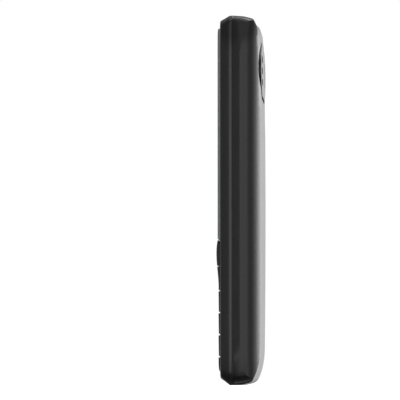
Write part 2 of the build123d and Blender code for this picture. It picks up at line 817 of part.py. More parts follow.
# Two folded steel cans on the back of the board, under the battery.
for name, width, height in (
    ("shield_can_radio", radio_can_width, battery_centre + can_offset),
    ("shield_can_processor", processor_can_width, battery_centre - can_offset),
):
    with BuildPart() as can:
        with BuildSketch(depth_plane(board_back)):
            with Locations((0, height)):
                RectangleRounded(width, can_length, can_radius)
        extrude(amount=-can_height)
        fillet(can.faces().sort_by(Axis.Y)[-1].edges(), can_wall)
        with BuildSketch(depth_plane(board_back)):
            with Locations((0, height)):
                RectangleRounded(width - 2 * can_wall, can_length - 2 * can_wall, can_radius - can_wall)
        extrude(amount=-can_height + can_wall, mode=Mode.SUBTRACT)
    finish(can, name)

# Card sockets: folded steel covers with a slot open towards the top of the phone.
for name, width, length, place in (
    ("sim_socket_one", sim_width, sim_length, (-sim_x, sim_centre)),
    ("sim_socket_two", sim_width, sim_length, (sim_x, sim_centre)),
    ("memory_card_socket", card_width, card_length, (0, card_centre)),
):
    with BuildPart() as socket:
        with BuildSketch(depth_plane(board_back)):
            with Locations(place):
                Rectangle(width, length)
        extrude(amount=-sim_height)
        with BuildSketch(depth_plane(board_back + can_wall)):
            with Locations((place[0], place[1] + can_wall)):
                Rectangle(width - 4 * can_wall, length)
        extrude(amount=-card_slot, mode=Mode.SUBTRACT)
        with BuildSketch(depth_plane(board_back + sim_height)):
            with Locations((place[0], place[1] + length / 4)):
                SlotOverall(width / 2, length / 4)
        extrude(amount=sim_height / 2, mode=Mode.SUBTRACT)
    finish(socket, name)

# Battery connector: plastic block on the board with three sprung blades.
with BuildPart() as battery_connector:
    with BuildSketch(depth_plane(board_back)):
        with Locations((0, connector_bottom)):
            Rectangle(connector_width, connector_length, align=(Align.CENTER, Align.MIN))
    extrude(amount=-connector_rise)
    with BuildSketch(depth_plane(board_back + connector_rise - can_wall)):
        with Locations((0, connector_bottom)):
            with GridLocations(blade_pitch, 1, 3, 1):
                Rectangle(blade_width + fixed_gap, connector_length - 2 * can_wall)
    extrude(amount=connector_rise - 2 * can_wall, mode=Mode.SUBTRACT)
finish(battery_connector, "battery_connector")

with BuildPart() as battery_blades:
    for blade_x in (-blade_pitch, 0, blade_pitch):
        with BuildSketch(Plane.YZ.offset(blade_x - blade_width / 2)):
            with BuildLine():
                Polyline(
                    (across(board_back + blade_foot), connector_bottom + blade_foot),
                    (across(board_back + blade_foot), connector_bottom - fixed_gap),
                    (across(board_back + connector_rise / 2), battery_top + fixed_gap + blade_thickness),
                    (across(board_back + connector_rise - blade_foot), connector_bottom - fixed_gap),
                    (across(board_back + connector_rise - blade_foot), connector_bottom + blade_foot),
                )
            trace(line_width=blade_thickness)
        extrude(amount=blade_width)
finish(battery_blades, "battery_blades")

# ================================================================ rear chassis
# Moulded inner frame: a thin skin that follows the rear cover, with a tub for the battery,
# a bay for the card sockets, seats for speaker and camera, and six screw columns.
# The room behind its floor, round the walls of tub, bay and seats, is shaped first.
with BuildPart() as hollow:
    with BuildSketch(depth_plane(overall_depth)):
        add(inset_outline(chassis_inset + chassis_skin))
        with Locations(*screw_places):
            Circle(column_radius, mode=Mode.SUBTRACT)
        with Locations((0, battery_centre)):
            Rectangle(tub_width + 2 * chassis_skin, tub_length + 2 * chassis_skin, mode=Mode.SUBTRACT)
        with Locations((0, bay_centre)):
            Rectangle(tub_width + 2 * chassis_skin, bay_length + 2 * chassis_skin, mode=Mode.SUBTRACT)
        with Locations((speaker_x, island_centre)):
            Rectangle(speaker_width + 2 * chassis_skin, speaker_length + 2 * chassis_skin,
                      mode=Mode.SUBTRACT)
        with Locations((camera_x, island_centre)):
            Rectangle(camera_side + 2 * chassis_skin, camera_side + 2 * chassis_skin, mode=Mode.SUBTRACT)
    extrude(amount=overall_depth - floor_front)
    add(body_form(chassis_inset + chassis_skin, floor_front), mode=Mode.INTERSECT)

with BuildPart() as rear_chassis:
    add(body_form(chassis_inset, chassis_shoulder))
    with BuildSketch(depth_plane(chassis_shoulder)):
        add(inset_outline(chassis_skirt_inset))
    extrude(amount=chassis_shoulder - chassis_front)
    # room for the board's components
    with BuildSketch(depth_plane(floor_front)):
        add(inset_outline(chassis_skirt_inset + chassis_skin))
        with Locations(*screw_places):
            Circle(column_radius, mode=Mode.SUBTRACT)
    extrude(amount=component_room, mode=Mode.SUBTRACT)
    # hollow behind the skin
    add(hollow.part, mode=Mode.SUBTRACT)
    # battery tub, open to the back
    with BuildSketch(depth_plane(floor_back)):
        with Locations((0, battery_centre)):
            RectangleRounded(tub_width, tub_length, battery_radius)
    extrude(amount=-overall_depth, mode=Mode.SUBTRACT)
    # card bay, open to the back and to the board
    with BuildSketch(depth_plane(chassis_front)):
        with Locations((0, bay_centre)):
            RectangleRounded(tub_width, bay_length, battery_radius)
        with Locations((camera_x, island_centre)):
            Rectangle(camera_side + battery_gap, camera_side + battery_gap)
        with Locations((0, connector_bottom)):
            Rectangle(connector_width + battery_gap, 2 * connector_length)
    extrude(amount=-overall_depth, mode=Mode.SUBTRACT)
    # speaker seat and screw counterbores
    with BuildSketch(depth_plane(speaker_depth - fixed_gap)):
        with Locations((speaker_x, island_centre)):
            Rectangle(speaker_width + battery_gap, speaker_length + battery_gap)
    extrude(amount=-overall_depth, mode=Mode.SUBTRACT)
    with BuildSketch(depth_plane(chassis_front + screw_seat)):
        with Locations(*screw_places):
            Circle(screw_head_radius + battery_gap)
    extrude(amount=-overall_depth, mode=Mode.SUBTRACT)
    with BuildSketch(depth_plane(chassis_front)):
        with Locations(*screw_places):
            Circle(pilot_radius)
    extrude(amount=-screw_seat, mode=Mode.SUBTRACT)
    # cut-outs for the sockets in the end walls, and grooves for the cover's hooks
    with BuildSketch(depth_plane(chassis_front)):
        with Locations((jack_x, jack_mouth)):
            Rectangle(jack_side + battery_gap, 2 * jack_room)
    extrude(amount=-jack_side - battery_gap, mode=Mode.SUBTRACT)
    with BuildSketch(depth_plane(chassis_front)):
        with Locations((0, -half_length)):
            Rectangle(usb_width + battery_gap, 2 * (half_length + usb_mouth + usb_length + battery_gap))
    extrude(amount=-usb_height - battery_gap, mode=Mode.SUBTRACT)
    with BuildSketch(depth_plane(chassis_front)):
        for side in (-1, 1):
            for height in hook_heights:
                with Locations((side * half_width, height)):
                    Rectangle(2 * groove_inset, hook_width + 2 * battery_gap)
    extrude(amount=-overall_depth, mode=Mode.SUBTRACT)
finish(rear_chassis, "rear_chassis")

# Flexible antenna: a film that follows the chassis round its lower end.
with BuildPart() as antenna:
    with BuildSketch(depth_plane(overall_depth)):
        with Locations((0, -half_length)):
            Rectangle(antenna_width, 2 * antenna_reach)
    extrude(amount=overall_depth - antenna_front)
    add(body_form(chassis_inset - antenna_thickness, antenna_front), mode=Mode.INTERSECT)
    add(body_form(chassis_inset, antenna_front - antenna_thickness), mode=Mode.SUBTRACT)
finish(antenna, "antenna")

with BuildPart() as battery:
    with BuildSketch(depth_plane(battery_depth + battery_thickness)):
        with Locations((0, battery_centre)):
            RectangleRounded(battery_width, battery_length, battery_radius)
    extrude(amount=battery_thickness)
    fillet(battery.edges().filter_by(Axis.Z), battery_edge_radius)
finish(battery, "battery")

with BuildPart() as screws:
    with BuildSketch(depth_plane(screw_head_back)):
        with Locations(*screw_places):
            Circle(screw_head_radius)
    extrude(amount=screw_head_height)
    fillet(screws.faces().sort_by(Axis.Y)[-6:].edges(), screw_head_height / 3)
    with BuildSketch(depth_plane(board_back - screw_bite)):
        with Locations(*screw_places):
            Circle(screw_radius)
    extrude(amount=-screw_bite - fixed_gap - screw_seat)
    with BuildSketch(depth_plane(screw_head_back)):
        with Locations(*screw_places):
            Rectangle(screw_slot_length, screw_slot_width)
            Rectangle(screw_slot_width, screw_slot_length)
    extrude(amount=screw_head_height / 2, mode=Mode.SUBTRACT)
finish(screws, "chassis_screws")

# ================================================================ sound, camera, motor
with BuildPart() as loudspeaker:
    with BuildSketch(depth_plane(speaker_depth + speaker_thickness)):
        with Locations((speaker_x, island_centre)):
            RectangleRounded(speaker_width, speaker_length, speaker_corner)
    extrude(amount=speaker_thickness)
    with BuildSketch(depth_plane(speaker_depth + speaker_thickness)):
        with Locations((speaker_x, island_centre)):
            RectangleRounded(speaker_width - 2 * speaker_rim, speaker_length - 2 * speaker_rim, speaker_corner)
    extrude(amount=speaker_sink, mode=Mode.SUBTRACT)
finish(loudspeaker, "loudspeaker")

with BuildPart() as speaker_gasket:
    with BuildSketch(depth_plane(speaker_depth + speaker_thickness + gasket_thickness)):
        with Locations((speaker_x, island_centre)):
            RectangleRounded(speaker_width, speaker_length, speaker_corner)
            RectangleRounded(speaker_width - 2 * speaker_rim, speaker_length - 2 * speaker_rim,
                             speaker_corner, mode=Mode.SUBTRACT)
    extrude(amount=gasket_thickness)
finish(speaker_gasket, "speaker_gasket")

with BuildPart() as camera_module:
    with BuildSketch(depth_plane(camera_depth)):
        with Locations((camera_x, island_centre)):
            Rectangle(camera_side, camera_side)
    extrude(amount=-(camera_back - camera_barrel_rise - camera_depth))
    with BuildSketch(depth_plane(camera_back)):
        with Locations((camera_x, island_centre)):
            Circle(camera_barrel_radius)
    extrude(amount=camera_barrel_rise)
    with BuildSketch(depth_plane(camera_back)):
        with Locations((camera_x, island_centre)):
            Circle(camera_pupil_radius)
    extrude(amount=camera_barrel_rise / 2, taper=camera_cone, mode=Mode.SUBTRACT)
finish(camera_module, "camera_module")

with BuildPart() as vibration_motor:
    with BuildSketch(depth_plane(board_back)):
        with Locations(motor_place):
            Circle(motor_radius)
    extrude(amount=-motor_thickness)
    fillet(vibration_motor.faces().sort_by(Axis.Y)[-1].edges(), motor_thickness / 6)
finish(vibration_motor, "vibration_motor")

with BuildPart() as microphone:
    with BuildSketch(depth_plane(board_back)):
        with Locations(microphone_place):
            Circle(microphone_radius)
    extrude(amount=-microphone_height)
    with BuildSketch(depth_plane(board_back + microphone_height)):
        with Locations(microphone_place):
            Circle(microphone_radius / 4)
    extrude(amount=microphone_height / 3, mode=Mode.SUBTRACT)
finish(microphone, "microphone")

# ================================================================ sockets
# Headphone jack for a 3.5 mm plug: square body on the board, round barrel to the top end.
with BuildPart() as headphone_jack:
    with BuildSketch(depth_plane(jack_depth + jack_side / 2)):
        with Locations((jack_x, jack_mouth - jack_barrel_length)):
            Rectangle(jack_side, jack_room - jack_barrel_length - battery_gap, align=(Align.CENTER, Align.MAX))
    extrude(amount=jack_side)
    with BuildSketch(Plane.XY.offset(jack_mouth)):
        with Locations((jack_x, across(jack_depth))):
            Circle(jack_barrel)
    extrude(amount=-jack_barrel_length)
    with BuildSketch(Plane.XY.offset(jack_mouth)):
        with Locations((jack_x, across(jack_depth))):
            Circle(jack_radius)
    extrude(amount=-jack_length, mode=Mode.SUBTRACT)
finish(headphone_jack, "headphone_jack")


def usb_profile(gap):
    """Micro-USB outline about its own centre, grown by a gap: two corners are cut off."""
    width = usb_width + 2 * gap
    height = usb_height + 2 * gap
    with BuildSketch() as shape:
        Rectangle(width, height)
        chamfer(shape.vertices().group_by(Axis.Y)[-1], usb_corner)
        fillet(shape.vertices().group_by(Axis.Y)[0], usb_wall)
    return shape.sketch


usb_plane = Plane(origin=(0, across(usb_depth), usb_mouth), x_dir=(1, 0, 0), z_dir=(0, 0, 1))
with BuildPart() as usb_socket:
    with BuildSketch(usb_plane):
        add(usb_profile(0))
        add(usb_profile(-usb_wall), mode=Mode.SUBTRACT)
    extrude(amount=usb_length)
    for side in (-1, 1):
        with BuildSketch(depth_plane(board_back)):
            with Locations((side * (usb_width / 2 + usb_tab / 2 - usb_wall), usb_mouth + usb_length / 2)):
                Rectangle(usb_tab, usb_length / 3)
        extrude(amount=-2 * usb_wall)
finish(usb_socket, "usb_socket")

with BuildPart() as usb_insert:
    with BuildSketch(usb_plane.offset(usb_length)):
        add(usb_profile(-usb_wall))
    extrude(amount=-usb_length / 4)
    with BuildSketch(usb_plane.offset(usb_length)):
        with Locations((0, -usb_height / 8)):
            Rectangle(usb_width / 2, usb_height / 4)
    extrude(amount=-usb_length + 2 * usb_wall)
finish(usb_insert, "usb_insert")

# ================================================================ rear cover
# One moulded shell wraps the back and all four flanks up to the seam. A raised pill near
# its top carries the camera window and the speaker slots, inside a shallow moat.
with BuildPart() as back_cover:
    add(body_form(0, cover_front))
    with BuildSketch(depth_plane(island_depth)):
        add(pill(island_width, island_length))
    extrude(amount=island_depth - moat_floor)
    add(body_form(cover_wall, cover_front - seam_gap), mode=Mode.SUBTRACT)
    with BuildSketch(depth_plane(moat_floor)):
        add(pill(island_width + 2 * moat_width, island_length + 2 * moat_width))
        add(pill(island_width, island_length), mode=Mode.SUBTRACT)
    extrude(amount=-moat_floor, mode=Mode.SUBTRACT)
    fillet(back_cover.faces().sort_by(Axis.Y)[-1].edges(), island_edge_radius)
    # camera window: a stepped round hole
    with BuildSketch(depth_plane(window_back)):
        with Locations((camera_x, island_centre)):
            Circle(window_radius + fixed_gap)
    extrude(amount=-overall_depth, mode=Mode.SUBTRACT)
    with BuildSketch(depth_plane(cover_front)):
        with Locations((camera_x, island_centre)):
            Circle(window_radius - window_ledge)
    extrude(amount=-overall_depth, mode=Mode.SUBTRACT)
    # speaker slots
    with BuildSketch(depth_plane(cover_front)):
        with Locations((speaker_x, island_centre)):
            with GridLocations(1, slot_pitch, 1, slot_count):
                SlotOverall(slot_width, slot_height)
    extrude(amount=-overall_depth, mode=Mode.SUBTRACT)
    # openings in the end walls
    with BuildSketch(Plane.XY.offset(jack_mouth)):
        with Locations((jack_x, across(jack_depth))):
            Circle(jack_barrel + socket_gap)
    extrude(amount=half_length, mode=Mode.SUBTRACT)
    with BuildSketch(Plane.XY.offset(usb_mouth)):
        with Locations((0, across(seam_depth))):
            Rectangle(usb_width + 2 * socket_gap, 2 * (usb_depth - seam_depth) + usb_height + 2 * socket_gap)
    extrude(amount=-half_length, mode=Mode.SUBTRACT)
    # pry slot along the top end of the seam
    with BuildSketch(depth_plane(cover_front + pry_gap)):
        with Locations((0, half_length)):
            Rectangle(pry_width, 2 * cover_wall + 2 * end_arch)
    extrude(amount=2 * pry_gap, mode=Mode.SUBTRACT)
    # hooks on the inside of the flanks
    for side in (-1, 1):
        for height in hook_heights:
            with BuildSketch(Plane.XY.offset(height - hook_width / 2)):
                with BuildLine():
                    Polyline(
                        (side * (half_width - cover_wall + fixed_gap), across(hook_front)),
                        (side * (half_width - cover_wall - hook_reach), across(hook_front)),
                        (side * (half_width - cover_wall - hook_reach), across(hook_front + hook_thickness / 2)),
                        (side * (half_width - cover_wall + fixed_gap), across(hook_front + hook_thickness)),
                        close=True,
                    )
                make_face()
            extrude(amount=hook_width)
finish(back_cover, "back_cover")

with BuildPart() as camera_window:
    with BuildSketch(depth_plane(window_back)):
        with Locations((camera_x, island_centre)):
            Circle(window_radius)
    extrude(amount=-window_thickness)
    chamfer(camera_window.faces().sort_by(Axis.Y)[-1].edges(), window_thickness / 4)
finish(camera_window, "camera_window")

with BuildPart() as speaker_mesh:
    with BuildSketch(depth_plane(mesh_back)):
        with Locations((speaker_x, island_centre)):
            RectangleRounded(speaker_width - speaker_rim, speaker_length - speaker_rim, speaker_corner)
    extrude(amount=mesh_thickness)
finish(speaker_mesh, "speaker_mesh")
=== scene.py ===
import math

import bmesh
import bpy
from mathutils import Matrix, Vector


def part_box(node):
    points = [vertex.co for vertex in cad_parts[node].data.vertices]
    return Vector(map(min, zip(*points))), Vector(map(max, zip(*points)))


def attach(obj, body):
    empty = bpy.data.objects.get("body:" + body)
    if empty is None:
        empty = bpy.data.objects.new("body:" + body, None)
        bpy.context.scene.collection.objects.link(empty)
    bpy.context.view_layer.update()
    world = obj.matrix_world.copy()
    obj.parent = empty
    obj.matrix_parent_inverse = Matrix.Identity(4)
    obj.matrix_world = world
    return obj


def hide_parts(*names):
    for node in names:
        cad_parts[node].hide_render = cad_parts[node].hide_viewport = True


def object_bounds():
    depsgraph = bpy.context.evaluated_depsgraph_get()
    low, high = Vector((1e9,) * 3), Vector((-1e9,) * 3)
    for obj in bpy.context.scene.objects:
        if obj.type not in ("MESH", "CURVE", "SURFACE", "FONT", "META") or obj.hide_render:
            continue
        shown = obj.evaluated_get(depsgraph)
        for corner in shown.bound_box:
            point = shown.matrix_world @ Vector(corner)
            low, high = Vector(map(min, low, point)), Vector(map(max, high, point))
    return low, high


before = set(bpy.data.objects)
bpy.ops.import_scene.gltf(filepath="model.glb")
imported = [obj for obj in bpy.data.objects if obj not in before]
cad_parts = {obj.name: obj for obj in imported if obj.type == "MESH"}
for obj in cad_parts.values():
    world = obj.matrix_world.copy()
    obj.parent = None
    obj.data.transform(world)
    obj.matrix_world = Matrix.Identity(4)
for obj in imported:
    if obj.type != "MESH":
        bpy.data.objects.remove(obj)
cad_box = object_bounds()
scene = bpy.context.scene
MM = 0.001

# ---------------------------------------------------------------- front housing
# The front shell is injection moulded in black PC-ABS, in a polished tool. It carries the
# lens, the keys and the board, and shows as the facet and the flank in front of the seam.


def linear(code):
    """An sRGB hex colour as linear RGBA."""
    channels = []
    for place in (1, 3, 5):
        value = int(code[place:place + 2], 16) / 255
        channels.append(value / 12.92 if value <= 0.04045 else ((value + 0.055) / 1.055) ** 2.4)
    return (*channels, 1.0)


def new_finish(name):
    """An empty material."""
    finish = bpy.data.materials.new(name)
    finish.use_nodes = True
    finish.node_tree.nodes.clear()
    return finish


def add(owner, kind, inputs, **settings):
    """Adds a shader node to a material or world: its settings, its values and its links."""
    node = owner.node_tree.nodes.new("ShaderNode" + kind)
    for name, value in settings.items():
        setattr(node, name, value)
    for name, value in inputs.items():
        if isinstance(value, bpy.types.NodeSocket):
            owner.node_tree.links.new(value, node.inputs[name])
        else:
            node.inputs[name].default_value = value
    return node


def dress(finish, *names):
    """Gives CAD nodes a material."""
    for name in names:
        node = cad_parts[name]
        if not node.material_slots:
            node.data.materials.append(finish)
        for slot in node.material_slots:
            slot.material = finish


def moulded_plastic(name, colour, colour_worn, roughness, grain, depth, edge):
    """Injection-moulded plastic: flow ripple, tool grain and softened edges, sizes in mm."""
    finish = new_finish(name)
    place = add(finish, "TexCoord", {}).outputs["Object"]
    flow = add(finish, "TexNoise", {"Vector": place, "Scale": 1 / (14 * MM), "Detail": 2.0})
    pores = add(finish, "TexNoise", {"Vector": place, "Scale": 1 / (grain * MM), "Detail": 3.0})
    tone = add(finish, "MixRGB", {"Fac": flow.outputs["Fac"], "Color1": linear(colour),
                                  "Color2": linear(colour_worn)})
    gloss = add(finish, "MapRange", {"Value": flow.outputs["Fac"], "From Min": 0.3, "From Max": 0.7,
                                     "To Min": roughness * 0.9, "To Max": roughness * 1.12})
    rounding = add(finish, "Bevel", {"Radius": edge * MM}, samples=6)
    relief = add(finish, "Bump", {"Height": pores.outputs["Fac"], "Distance": depth * MM,
                                  "Strength": 1.0, "Normal": rounding.outputs["Normal"]})
    body = add(finish, "BsdfPrincipled", {"Base Color": tone.outputs["Color"],
                                          "Roughness": gloss.outputs["Result"], "IOR": 1.52,
                                          "Normal": relief.outputs["Normal"]})
    add(finish, "OutputMaterial", {"Surface": body.outputs["BSDF"]})
    return finish


# Polished black PC-ABS: near mirror at grazing angles, a soft grey sheen face on.
polished_pc_abs = moulded_plastic("polished_black_pc_abs", "#161617", "#1b1b1c",
                                  roughness=0.2, grain=0.35, depth=0.0004, edge=0.35)

# The finished shells have squarer ends than their solids, and carry the island nearer to the
# top. Each is a copy of its solid with its points moved. Depths count from the front face.
front_face = cad_box[0][1]
half_width = cad_box[1][0]
half_length = cad_box[1][2]
seam_depth = 5.65 * MM

# The solid cover's back: a crown along its length, then a bend into each end.
crown_depth = 15.25 * MM
crown_fall = 0.35 * MM
crown_reach = 50 * MM
bend_slope = 0.014
bend_curve = 0.0162 / MM
bend_ends = 61.5 * MM

# The finished back leaves that crown sooner, and has a fall of its own towards each end. At the
# head it stays full and then steps down; at the foot it rounds in, most in the middle.
bend_starts = 45 * MM
crown_slope = 2 * crown_fall * bend_starts / crown_reach ** 2
head_fall = 0.3 * MM
head_fall_power = 4
head_step = (59.2 * MM, 61.2 * MM)
head_step_fall = 1.8 * MM
head_reach_across = 20 * MM
head_reach_power = 6
foot_fall = 4.4 * MM
foot_fall_power = 4.5
foot_share_middle = 1.35
foot_share_loss = 0.95
foot_share_least = 0.25
foot_reach_across = 20 * MM

# The ends' arch is flattest at the seam and draws in towards both faces, and the flanks bend in.
arch_zone = (50 * MM, 60 * MM)
seam_rise = 2.1 * MM
front_drop = 0.9 * MM
back_drop = 1.5 * MM
back_drop_room = 6.35 * MM
back_drop_power = 1.9
back_drop_most = 1.1
flank_bend = 0.04
flank_bend_zone = (53 * MM, 63 * MM)
flank_bend_power = 8

# The island slides up, stands out less, and its moat moves out over the haunches.
island_slide = 3.0 * MM
slide_foot = (18 * MM, 32 * MM)
slide_head = (52.3 * MM, 61.5 * MM)
island_share = 0.45
island_face_rise = 0.2 * MM
island_spread = 2.0 * MM
spread_inside = (14 * MM, 19 * MM)
spread_outside = (20.3 * MM, 26.5 * MM)
spread_foot = (24 * MM, 33 * MM)
spread_head = (51 * MM, 59 * MM)
spread_depth = (10 * MM, 12 * MM)
haunch_starts = 18 * MM
haunch_fall = 7.45 * MM

# The flat stretches of the solids are cut into small faces first, so that they can bend.
weld_distance = 0.002 * MM
longest_edge = 1.6 * MM
most_cuts = 7
cut_depth = 10 * MM
sharp_angle = math.radians(24)


def ease(value, start, end):
    """Smooth step from 0 at start to 1 at end."""
    share = min(max((value - start) / (end - start), 0), 1)
    return share * share * (3 - 2 * share)


def solid_back(height):
    """Depth of the solid cover's back at a height."""
    reach = min(abs(height), bend_ends)
    past = max(reach - crown_reach, 0)
    return (crown_depth - crown_fall * (min(reach, crown_reach) / crown_reach) ** 2
            - bend_slope * past - bend_curve * past ** 2)


def finished_back(height):
    """Depth of the finished cover's back at a height."""
    reach = min(abs(height), bend_ends)
    past = max(reach - bend_starts, 0)
    share = past / (bend_ends - bend_starts)
    fall = foot_fall * share ** foot_fall_power
    if height > 0:
        fall = head_fall * share ** head_fall_power + head_step_fall * ease(height, *head_step)
    return solid_back(min(reach, bend_starts)) - crown_slope * past - fall


def share_of_fall(place):
    """How much of the finished back's fall a point takes at its distance from the middle."""
    if place.z < 0:
        loss = foot_share_loss * (place.x / foot_reach_across) ** 2
        return max(foot_share_middle - loss, foot_share_least)
    return max(1 - (place.x / head_reach_across) ** head_reach_power, 0)


def haunch(across):
    """How far the back has fallen at a distance from the middle."""
    reach = min(max(abs(across) - haunch_starts, 0) / (half_width - haunch_starts), 1)
    return haunch_fall * (1 - math.sqrt(1 - reach ** 2))


def spread(place, depth):
    """How far a point near the island moves out."""
    return (island_spread * ease(abs(place.x), *spread_inside) * (1 - ease(abs(place.x), *spread_outside))
            * ease(place.z, *spread_foot) * (1 - ease(place.z, *spread_head)) * ease(depth, *spread_depth))


def finished_place(place):
    """Where a point of the solid shells lies on the finished ones."""
    across = place.x
    depth = place.y - front_face
    drop = front_drop * (seam_depth - depth) / seam_depth
    if depth > seam_depth:
        drop = back_drop * min((depth - seam_depth) / back_drop_room, back_drop_most) ** back_drop_power
    arch = (place.x / half_width) ** 2 * (seam_rise - drop) * ease(abs(place.z), *arch_zone)
    head = min(max((slide_head[1] - place.z) / (slide_head[1] - slide_head[0]), 0), 1)
    slide = island_slide * ease(place.z, *slide_foot) * head
    height = place.z + math.copysign(arch, place.z) + slide
    if depth > seam_depth:
        fuller = (finished_back(place.z + slide) - seam_depth) / (solid_back(place.z) - seam_depth)
        proud = max(depth - solid_back(place.z), 0)
        depth = (seam_depth + (depth - proud - seam_depth) * (1 + (fuller - 1) * share_of_fall(place))
                 + proud * island_share)
        across = math.copysign(abs(place.x) + spread(place, depth), place.x)
        depth -= (haunch(across) - haunch(place.x)) * (1 - min(proud / island_face_rise, 1))
    across *= (1 - flank_bend * ease(abs(height), *flank_bend_zone)
               * (place.x / half_width) ** flank_bend_power)
    return Vector((across, front_face + depth, min(max(height, -half_length), half_length)))


def finished_shell(name, node, body, finish):
    """The finished form of a CAD node, which it replaces."""
    form = bmesh.new()
    form.from_mesh(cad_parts[node].data)
    bmesh.ops.remove_doubles(form, verts=form.verts, dist=weld_distance)
    for cut in range(most_cuts):
        long_edges = [edge for edge in form.edges if edge.calc_length() > longest_edge
                      and max(end.co.y for end in edge.verts) > front_face + cut_depth]
        if not long_edges:
            break
        bmesh.ops.subdivide_edges(form, edges=long_edges, cuts=1)
        bmesh.ops.triangulate(form, faces=[face for face in form.faces if len(face.verts) > 3])
    for vertex in form.verts:
        vertex.co = finished_place(vertex.co)
    for face in form.faces:
        face.smooth = True
    for edge in form.edges:
        edge.smooth = edge.calc_face_angle(math.pi) < sharp_angle
    mesh = bpy.data.meshes.new(name)
    form.to_mesh(mesh)
    form.free()
    shell = bpy.data.objects.new(name, mesh)
    scene.collection.objects.link(shell)
    mesh.materials.append(finish)
    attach(shell, body)
    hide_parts(node)


finished_shell("housing_shell", "front_housing", "phone", polished_pc_abs)

# ---------------------------------------------------------------- rear cover
# One moulded shell of the same PC-ABS, hooked onto the housing. Its tool is blasted a little
# finer than silk, so the rounded back spreads its reflections more than the front does.
satin_pc_abs = moulded_plastic("satin_black_pc_abs", "#151516", "#1a1a1b",
                               roughness=0.17, grain=0.3, depth=0.0006, edge=0.3)
finished_shell("cover_shell", "back_cover", "rear_cover", satin_pc_abs)

# ---------------------------------------------------------------- camera window
# A disc of smoked glass glued into the island, with a coated lens stack behind it.
smoked_glass = new_finish("smoked_window_glass")
window_haze = add(smoked_glass, "TexNoise", {"Vector": add(smoked_glass, "TexCoord", {}).outputs["Object"],
                                             "Scale": 1 / (2 * MM), "Detail": 2.0})
window_gloss = add(smoked_glass, "MapRange", {"Value": window_haze.outputs["Fac"], "To Min": 0.01,
                                              "To Max": 0.05})
window_body = add(smoked_glass, "BsdfPrincipled", {"Base Color": linear("#5a5d63"), "IOR": 1.52,
                                                   "Transmission Weight": 1.0,
                                                   "Roughness": window_gloss.outputs["Result"]})
add(smoked_glass, "OutputMaterial", {"Surface": window_body.outputs["BSDF"]})
finished_shell("window_disc", "camera_window", "rear_cover", smoked_glass)

# Camera module: black anodised barrel on a square moulded base.
black_anodised = new_finish("black_anodised_barrel")
barrel_place = add(black_anodised, "TexCoord", {}).outputs["Object"]
barrel_lines = add(black_anodised, "TexNoise", {"Vector": barrel_place, "Scale": 1 / (0.2 * MM),
                                                "Detail": 2.0})
barrel_gloss = add(black_anodised, "MapRange", {"Value": barrel_lines.outputs["Fac"], "To Min": 0.3,
                                                "To Max": 0.55})
barrel_body = add(black_anodised, "BsdfPrincipled", {"Base Color": linear("#1d1d20"), "Metallic": 0.4,
                                                     "Roughness": barrel_gloss.outputs["Result"]})
add(black_anodised, "OutputMaterial", {"Surface": barrel_body.outputs["BSDF"]})
finished_shell("camera_barrel", "camera_module", "phone", black_anodised)

# Front element of the camera: a ground and coated glass dome in the barrel's cone.
element_radius = 1.25 * MM
element_rise = 0.3 * MM
element_edge = 0.1 * MM
element_depth = 0.55 * MM
dome_steps = 6
camera_low, camera_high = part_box("camera_module")
element_centre = finished_place(Vector(((camera_low[0] + camera_high[0]) / 2, camera_high[1] - element_depth,
                                        (camera_low[2] + camera_high[2]) / 2)))


def lathe(name, profile, centre, steps=48):
    """Turned piece about an axis along Y: profile holds (radius, rise towards +Y)."""
    form = bmesh.new()
    rings = []
    for radius, rise in profile:
        if radius == 0:
            rings.append([form.verts.new((centre.x, centre.y + rise, centre.z))])
            continue
        ring = []
        for step in range(steps):
            angle = 2 * math.pi * step / steps
            ring.append(form.verts.new((centre.x + radius * math.cos(angle), centre.y + rise,
                                        centre.z + radius * math.sin(angle))))
        rings.append(ring)
    for lower, upper in zip(rings, rings[1:]):
        for step in range(steps):
            after = (step + 1) % steps
            if len(upper) == 1:
                form.faces.new((lower[step], lower[after], upper[0]))
            elif len(lower) == 1:
                form.faces.new((lower[0], upper[after], upper[step]))
            else:
                form.faces.new((lower[step], lower[after], upper[after], upper[step]))
    bmesh.ops.recalc_face_normals(form, faces=form.faces)
    mesh = bpy.data.meshes.new(name)
    form.to_mesh(mesh)
    form.free()
    for face in mesh.polygons:
        face.use_smooth = True
    piece = bpy.data.objects.new(name, mesh)
    scene.collection.objects.link(piece)
    return piece


dome_profile = [(0, -element_edge)]
for step in range(dome_steps + 1):
    share = step / dome_steps
    dome_profile.append((element_radius * math.sqrt(1 - share ** 2), element_rise * share))
camera_element = lathe("camera_element", dome_profile, element_centre)

coated_glass = new_finish("coated_optical_glass")
# The colour runs from the coating's own dark violet face on to a lighter blue towards grazing angles, which
# is a painted reflection sheen.
grazing_painted_sheen = add(coated_glass, "LayerWeight", {"Blend": 0.35})
coating_tint_and_painted_sheen = add(coated_glass, "MixRGB", {"Fac": grazing_painted_sheen.outputs["Facing"],
                                         "Color1": linear("#0c0a1c"), "Color2": linear("#2b3f6e")})
coat_body = add(coated_glass, "BsdfPrincipled", {"Base Color": coating_tint_and_painted_sheen.outputs["Color"],
                                                 "Roughness": 0.04, "IOR": 1.6, "Coat Weight": 1.0})
add(coated_glass, "OutputMaterial", {"Surface": coat_body.outputs["BSDF"]})
camera_element.data.materials.append(coated_glass)
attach(camera_element, "phone")

# ---------------------------------------------------------------- speaker mesh
# Black woven steel mesh behind the speaker slots and the earpiece: real wires are 0.05 mm
# at a pitch of 0.12 mm, drawn here at a pitch of 0.45 mm so that the weave shows.
mesh_pitch = 0.45


def wave_scale(pitch):
    """The scale at which a wave texture, 20 radians a unit at scale 1, repeats at a pitch in mm."""
    return 1 / (pitch * MM) / 20 * 2 * math.pi


